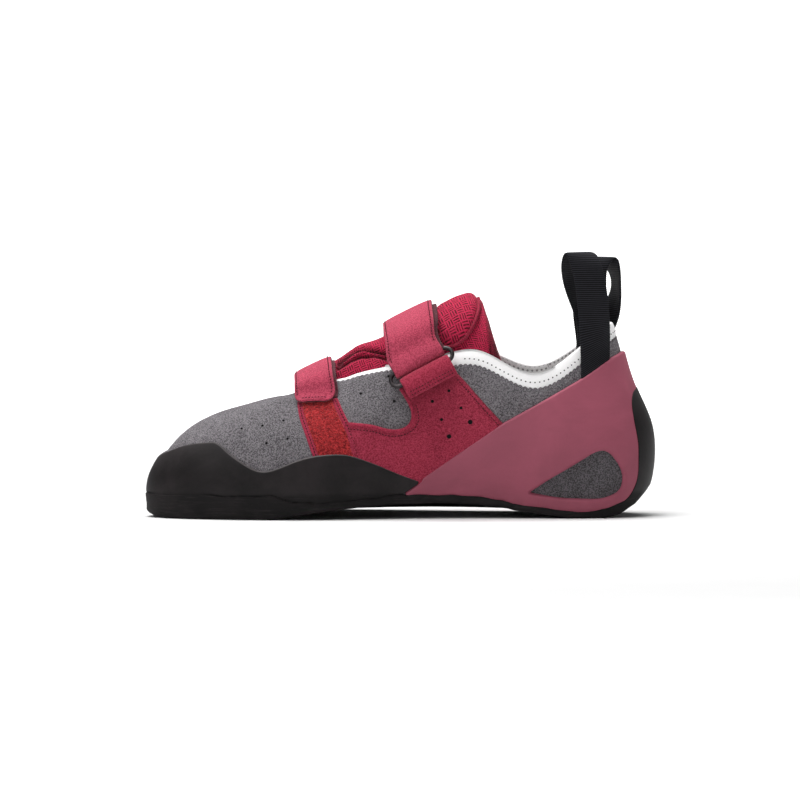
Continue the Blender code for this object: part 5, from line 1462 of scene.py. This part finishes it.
def tongue_surface(a, b, depth):
    """The padded saddle: a from the throat's front to its end, b from the inner wing to the outer one."""
    angle = np.pi * np.clip(b, 0, 1)
    wing = 1 - np.sin(angle) ** 0.8
    start, end_top, end_wing = np.array((TONGUE_FRONT, TONGUE_END_TOP, TONGUE_END_WING)) / 100 * LENGTH
    x = start + (end_top + (end_wing - end_top) * wing - start) * a
    top = side_points(TONGUE_TOP)
    half, middle, edge = throat_edges(x)
    half = np.maximum(half, TONGUE_TIP_HALF_WIDTH) - depth
    high = cubic(top[:, 0], top[:, 1:], x)[..., 0] - depth
    low = np.minimum(edge - TONGUE_WING_DEPTH, high - TONGUE_WING_DEPTH / 2)
    y = middle - half * np.sign(np.cos(angle)) * np.abs(np.cos(angle)) ** 0.9
    z = low + (high - low) * np.sin(angle) ** 0.85
    return np.stack([x, y, z], axis=-1)


def build_tongue(sizes, looks):
    """The tongue: its face, rolled end and back carried round, the folded lobe on it and the lobe's cord."""
    b = np.linspace(0, 1, 150)
    forward = np.linspace(0, 1, 230)
    turn = np.linspace(0, np.pi, 12)[1:-1]
    reach = 0.5 * TONGUE_PAD / TONGUE_LENGTH
    a_path = np.concatenate([forward, 1 + reach * np.sin(turn), forward[::-1]])
    deep = np.concatenate([np.zeros(230), 0.5 - 0.5 * np.cos(turn), np.ones(230)])
    pad = TONGUE_PAD * np.interp(np.clip(a_path, 0, 1), (0, 0.295), (0.35, 1))
    a, bs = np.meshgrid(a_path, b, indexing="ij")
    depth = (deep * pad)[:, None] + 0 * bs
    plain = tongue_surface(a, bs, 0 * bs)
    lift = relief(plain, TONGUE_RELIEF) * (1 - deep)[:, None]
    waves = np.sin(a * 21 + bs * 5) * 0.35 + np.sin(a * 47 - bs * 9) * 0.15
    swell = 0.9 * MM * np.sin(np.pi * bs) ** 0.5 * waves * (1 - deep)[:, None]
    points = tongue_surface(a, bs, depth - lift - swell * ease(0.05, 0.2, a))
    # Painted shade: the tongue's rolled end on the inner side and the troughs of its folds are marked to be
    # darkened.
    rim = ease(42.6 * MM, 44.6 * MM, points[..., 0]) * ease(-4 * MM, -8 * MM, points[..., 1])
    rim = np.maximum(rim, np.clip(-lift / (1.3 * MM), 0, 1))
    faces = grid_faces(*points.shape[:2])[:, ::-1]
    pad = put_piece("tongue_pad", points, faces, [looks["tongue"]], "tongue", lengths(points),
                    {"edge": rim})
    grid_a, grid_b = np.meshgrid(np.linspace(0.3, 1.02, 260), np.linspace(0.0, 0.5, 200), indexing="ij")
    flat = tongue_surface(grid_a, grid_b, 0 * grid_a)[..., (0, 2)].reshape(-1, 2) / MM

    def on_tongue(x, z):
        gone = (flat[None, :, 0] - x[:, None]) ** 2 + (flat[None, :, 1] - z[:, None]) ** 2
        nearest = np.argmin(gone, axis=1)
        return grid_a.reshape(-1)[nearest], grid_b.reshape(-1)[nearest]

    outline = through(np.array(TONGUE_LOBE), np.linspace(0, 1, 120))
    edge_a, edge_b = on_tongue(outline[:, 0], outline[:, 1])
    edge_a, edge_b = (np.convolve(np.concatenate([e[-4:-1], e, e[1:4]]), np.ones(7) / 7, "valid")
                      for e in (edge_a, edge_b))
    edge_a[-1], edge_b[-1] = edge_a[0], edge_b[0]
    mid_a, mid_b = (float(value[0]) for value in on_tongue(*np.array(LOBE_CENTRE, float).reshape(2, 1)))
    r = np.concatenate([np.linspace(0, 0.8, 30), 1 - 0.2 * (1 - np.linspace(0, 1, 22)[1:]) ** 1.6])
    rs, k = np.meshgrid(r, np.arange(120), indexing="ij")
    la = mid_a + (edge_a[k] - mid_a) * rs
    lb = mid_b + (edge_b[k] - mid_b) * rs
    puff = LOBE_HEIGHT * np.sqrt(np.clip(1 - rs**3.2, 0, 1))
    puff = puff + 0.25 * MM * np.sin(la * 60) * np.sin(lb * 31) * (1 - rs)
    points = tongue_surface(la, lb, 0.6 * MM - puff - 0.6 * MM * (1 - rs**6))
    uv = np.stack([la * TONGUE_LENGTH, lb * TONGUE_GIRTH], axis=-1)
    faces = grid_faces(*points.shape[:2])
    lobe = put_piece("tongue_fold", points, faces, [looks["tongue"]], None, uv)
    part = slice(2, 62)
    path = tongue_surface(edge_a[part], edge_b[part], np.full(60, -1.5 * MM))
    put_cord("tongue_cord", path, 0.85 * MM, 12, looks["tongue_cord"], None)


# Stitches

STITCH_IN = 1.5 * MM


def surface_row(points, offset, side=-1, count=60):
    """A path on the last through points in the side view, with its outward directions."""
    line = through(np.asarray(points, float), np.linspace(0, 1, count))
    u, v = seat(line[:, 0], line[:, 1], side)
    return layer(u, v, np.full_like(u, offset)), outward(u, v)


def build_stitches(sizes, looks):
    """Rows of stitches in the grooves of the straps, tab, panel, patch and white edge."""
    front, rear, tab = front_strap_rails(), rear_strap_rails(), tab_rails()
    rows = []
    lift = STRAP / 2 + 0.15 * MM
    for rails, free_end in ((front, True), (rear, False)):
        length, width = strap_size(rails)
        q = STITCH_IN / width
        a = 1.6 * MM / length
        low, high = (a * 2.6, 0.93) if free_end else (0.16, 0.97)
        rows.append(band_row(rails, ((high, q), (low, q)) if free_end else ((low, q), (high, q)), lift))
        if free_end:
            rows.append(band_row(rails, ((a, 0.18), (a, 0.82)), lift))
        rows.append(band_row(rails, ((low, 1 - q), (high, 1 - q)), lift))
        for back in (2.0, 9.0):
            a = 1 - back * MM / length
            rows.append(band_row(rails, ((a, q * 1.4), (a, 1 - q * 1.4)), lift))
    length, width = strap_size(tab)
    for back in (1.5, 3.1):
        a = 1 - back * MM / length
        rows.append(band_row(tab, ((a, 0.05), (a, 0.95)), STRAP * 0.45 + 0.12 * MM))
    rear_edge = side_points(PANEL_REAR_EDGE[1:]) - (2.3 * MM, 0.6 * MM)
    rows.append(surface_row(rear_edge, OVERLAY - 0.05 * MM))
    cord = side_points(PIPING_LINE)
    beside = np.array([(0, -2.2)] * 5 + [(2.3, -1.2)] * 2 + [(2.3, 0)] * (len(cord) - 8)) * MM
    rows.append(surface_row(cord[:-1] + beside, OVERLAY - 0.05 * MM, count=90))
    for share in (PATCH_BORDERS[0] * 0.55, 1 - (1 - PATCH_BORDERS[1]) * 0.5):
        t = np.linspace(0.03, 0.97, 60)
        path = patch_surface(np.full_like(t, share), t, np.full_like(t, 1.32 * MM))
        rows.append((path, unit(0 * path + (0, -1, 0.25))))
    put_stitches("burgundy_stitches", rows, looks["thread"], pitch=1.5 * MM,
                 length=1.0 * MM, radius=0.22 * MM)
    u = even_round(6.6, 15.4, 0.8 * MM, 1.0)
    rate = rib_rate(u, np.full_like(u, 0.97))
    v = 1 - np.minimum(4.3 * MM, binding_depth(u) * 0.6) / rate
    path, out = layer(u, v, np.full_like(u, -0.30 * MM)), outward(u, v)
    put_stitches("collar_stitches", [(path, out)], looks["thread_grey"], pitch=2.25 * MM,
                 length=1.0 * MM, radius=0.42 * MM)


# The stage

FLOOR_FLAT = 8.5
FLOOR_RIM = 0.8
WORLD_STRENGTH = 0.16
# Each lamp: where it is, what it looks at, its size and its power.
LAMPS = {
    "overhead": ((-0.3, -0.15, 1.5), (0, 0, 0.03), 1.1, 26.0),
    "front": ((-0.7, -1.9, 1.3), (0, 0, 0.05), 1.2, 7.0),
    "rear": ((0, 1.0, 2.3), (0, 2.3, 0.5), 2.0, 70.0),
}
CAMERA_DISTANCE = 7.0
CAMERA_TILT = math.radians(3)
CAMERA_AIM = (-0.0001, 0.0, 0.0553)
VIEW_WIDTH = 0.3835
SENSOR = 36

def build_stage(sizes, looks):
    """A pale round floor with a low rim, soft lamps, and the camera at the photograph's angle."""
    bend = np.linspace(0, np.pi / 2, 10)[1:]
    radius = np.concatenate([np.linspace(0, FLOOR_FLAT, 40), FLOOR_FLAT + FLOOR_RIM * np.sin(bend)])
    height = np.concatenate([np.zeros(40), FLOOR_RIM - FLOOR_RIM * np.cos(bend)])
    turn, k = np.meshgrid(np.linspace(0, 2 * np.pi, 97), np.arange(len(radius)), indexing="ij")
    points = np.stack([radius[k] * np.cos(turn), radius[k] * np.sin(turn), height[k]], axis=-1)
    mesh = bpy.data.meshes.new("floor")
    mesh.from_pydata(points.reshape(-1, 3).tolist(), [], grid_faces(*points.shape[:2])[:, ::-1].tolist())
    mesh.shade_smooth()
    mesh.materials.append(looks["floor"])
    link("floor", mesh)
    world = bpy.data.worlds.new("studio")
    world.use_nodes = True
    sky = world.node_tree.nodes["Background"].inputs
    sky["Color"].default_value = (1, 1, 1, 1)
    sky["Strength"].default_value = WORLD_STRENGTH
    bpy.context.scene.world = world
    for name, (place, aim, size, power) in LAMPS.items():
        lamp = bpy.data.lights.new(name, "AREA")
        lamp.shape = "DISK"
        lamp.size = size
        lamp.energy = power
        point_at(link(name, lamp), place, aim)
    camera = bpy.data.cameras.new("camera")
    camera.sensor_width = SENSOR
    camera.lens = SENSOR * (CAMERA_DISTANCE - 0.02) / VIEW_WIDTH
    camera.clip_end = 30
    view = link("camera", camera)
    back, rise = CAMERA_DISTANCE * math.cos(CAMERA_TILT), CAMERA_DISTANCE * math.sin(CAMERA_TILT)
    point_at(view, (CAMERA_AIM[0], -back, CAMERA_AIM[2] + rise), CAMERA_AIM)
    bpy.context.scene.camera = view
    bpy.context.scene.view_settings.view_transform = "Standard"


def point_at(item, place, aim):
    """Puts a lamp or the camera at a place, looking at its aim."""
    item.location = place
    item.rotation_euler = (Vector(aim) - Vector(place)).to_track_quat("-Z", "Y").to_euler()


# The add-on

class ShoeSizes(bpy.types.PropertyGroup):
    """Sizes that a user may change."""
    tooth_pitch: bpy.props.FloatProperty(name="Scallop pitch", description="Pitch of the scalloped edge",
                                         default=0.0024, min=0.001, max=0.01, unit="LENGTH")
    tooth_height: bpy.props.FloatProperty(name="Scallop height", description="Height of the scallops",
                                          default=0.0011, min=0.0, max=0.004, unit="LENGTH")
    rand_lip: bpy.props.FloatProperty(name="Rubber edge", description="How far the rubber's edge rounds over",
                                      default=0.0011, min=0.0002, max=0.004, unit="LENGTH")


class ShoeColours(bpy.types.PropertyGroup):
    """Colours that a user may change."""
    suede: bpy.props.FloatVectorProperty(name="Suede", description="Colour of the upper", size=3,
                                         subtype="COLOR", default=(0.118, 0.108, 0.117), min=0, max=1)
    strap: bpy.props.FloatVectorProperty(name="Straps", description="Colour of the straps", size=3,
                                         subtype="COLOR", default=(0.385, 0.041, 0.081), min=0, max=1)
    panel: bpy.props.FloatVectorProperty(name="Panel", description="Colour of the side panel", size=3,
                                         subtype="COLOR", default=(0.275, 0.016, 0.042), min=0, max=1)
    rand: bpy.props.FloatVectorProperty(name="Heel rubber", description="Colour of the heel rand", size=3,
                                        subtype="COLOR", default=(0.282, 0.067, 0.102), min=0, max=1)
    tongue: bpy.props.FloatVectorProperty(name="Tongue", description="Colour of the mesh", size=3,
                                          subtype="COLOR", default=(0.43, 0.015, 0.056), min=0, max=1)
    fleece: bpy.props.FloatVectorProperty(name="Pile", description="Colour of the pile patch", size=3,
                                          subtype="COLOR", default=(0.34, 0.013, 0.019), min=0, max=1)
    white: bpy.props.FloatVectorProperty(name="Lining", description="Colour of the lining", size=3,
                                         subtype="COLOR", default=(0.91, 0.90, 0.90), min=0, max=1)
    webbing: bpy.props.FloatVectorProperty(name="Webbing", description="Colour of the pull loops", size=3,
                                           subtype="COLOR", default=(0.0040, 0.0040, 0.0050), min=0, max=1)


LOOKS = {}


def make_looks(colours):
    """All the materials, made once."""
    if LOOKS:
        return LOOKS
    c = {key: tuple(getattr(colours, key)) for key in ShoeColours.__annotations__}
    LOOKS.update(
        suede=suede("grey_suede_nap", c["suede"], SUEDE_HOLES, shade(c["suede"], 0.8), paint_window_shade=True),
        strap=suede("strap_suede_nap", c["strap"], (), (0.13, 0.045, 0.05), 0.5),
        backing=suede("strap_backing", (0.085, 0.020, 0.028), (), None, 0.6),
        panel=suede("panel_suede_nap", c["panel"], PANEL_HOLES, shade(c["panel"], 0.6), 0.6),
        panel_plain=suede("border_suede_nap", shade(c["panel"], 1.1), (), None, 0.5),
        black_rubber=black_rubber("black_rubber_matte"),
        burgundy_rubber=burgundy_rubber("burgundy_rubber_matte", c["rand"]),
        white=plain_lining("white_knit", c["white"]),
        mesh_white=holed_lining("white_spacer_mesh", c["white"]),
        footbed=holed_lining("footbed_cloth", shade(c["white"], 0.7), 0.0035),
        tongue=basket_mesh("basket_mesh", c["tongue"]),
        tongue_cord=suede("tongue_edge_tape", shade(c["tongue"], 0.62), (), None, 0.5),
        fleece=fleece("loop_pile", c["fleece"]),
        webbing=ribbed_webbing("ribbed_webbing", c["webbing"]),
        metal=dark_metal("dark_nickel"),
        thread=thread("burgundy_thread", (0.026, 0.003, 0.008)),
        thread_grey=thread("grey_thread", (0.030, 0.030, 0.035)),
        floor=floor_finish("pale_paper"),
    )
    return LOOKS


class ShoePiece:
    """What the operators share: the sizes and the materials."""
    bl_options = {"REGISTER", "UNDO"}

    def execute(self, context):
        scene = context.scene
        looks = make_looks(scene.shoe_colours)
        for build in self.builders:
            build(scene.shoe_sizes, looks)
        return {"FINISHED"}


class SHOE_OT_upper(ShoePiece, bpy.types.Operator):
    """Builds the suede upper, its lining, its rolled edge and the footbed"""
    bl_idname = "shoe.upper"
    bl_label = "Upper and lining"
    builders = (build_upper, build_lining)


class SHOE_OT_rubber(ShoePiece, bpy.types.Operator):
    """Builds the outsole and both rands"""
    bl_idname = "shoe.rubber"
    bl_label = "Sole and rands"
    builders = (build_outsole, build_toe_rand, build_heel_rand)


class SHOE_OT_side(ShoePiece, bpy.types.Operator):
    """Builds the side panel, its cord and the pile patch"""
    bl_idname = "shoe.side"
    bl_label = "Panel and patch"
    builders = (build_panel, build_patch)


class SHOE_OT_tongue(ShoePiece, bpy.types.Operator):
    """Builds the padded tongue with its folded lobe"""
    bl_idname = "shoe.tongue"
    bl_label = "Tongue"
    builders = (build_tongue,)


class SHOE_OT_straps(ShoePiece, bpy.types.Operator):
    """Builds both straps, the ring and its tab"""
    bl_idname = "shoe.straps"
    bl_label = "Straps and ring"
    builders = (build_straps, build_ring)


class SHOE_OT_loops(ShoePiece, bpy.types.Operator):
    """Builds the two pull loops"""
    bl_idname = "shoe.loops"
    bl_label = "Pull loops"
    builders = (build_loops,)


class SHOE_OT_stitches(ShoePiece, bpy.types.Operator):
    """Builds the rows of stitches"""
    bl_idname = "shoe.stitches"
    bl_label = "Stitches"
    builders = (build_stitches,)


class SHOE_OT_stage(ShoePiece, bpy.types.Operator):
    """Builds the floor, the lamps and the camera"""
    bl_idname = "shoe.stage"
    bl_label = "Stage"
    builders = (build_stage,)


OPERATORS = (SHOE_OT_upper, SHOE_OT_rubber, SHOE_OT_side, SHOE_OT_tongue, SHOE_OT_straps, SHOE_OT_loops,
             SHOE_OT_stitches, SHOE_OT_stage)


class SHOE_PT_pieces(bpy.types.Panel):
    """Lists the shoe's sizes, colours and pieces"""
    bl_idname = "SHOE_PT_pieces"
    bl_label = "Climbing shoe"
    bl_space_type = "VIEW_3D"
    bl_region_type = "UI"
    bl_category = "Shoe"

    def draw(self, context):
        for group in (context.scene.shoe_sizes, context.scene.shoe_colours):
            for key in group.__annotations__:
                self.layout.prop(group, key)
        for operator in OPERATORS:
            self.layout.operator(operator.bl_idname)


CLASSES = (ShoeSizes, ShoeColours, *OPERATORS, SHOE_PT_pieces)


def register():
    for item in CLASSES:
        bpy.utils.register_class(item)
    bpy.types.Scene.shoe_sizes = bpy.props.PointerProperty(type=ShoeSizes)
    bpy.types.Scene.shoe_colours = bpy.props.PointerProperty(type=ShoeColours)


def unregister():
    del bpy.types.Scene.shoe_colours
    del bpy.types.Scene.shoe_sizes
    for item in reversed(CLASSES):
        bpy.utils.unregister_class(item)


def main():
    register()
    for build in (bpy.ops.shoe.upper, bpy.ops.shoe.rubber, bpy.ops.shoe.side, bpy.ops.shoe.tongue,
                  bpy.ops.shoe.straps, bpy.ops.shoe.loops, bpy.ops.shoe.stitches, bpy.ops.shoe.stage):
        build()


if __name__ == "__main__":
    main()
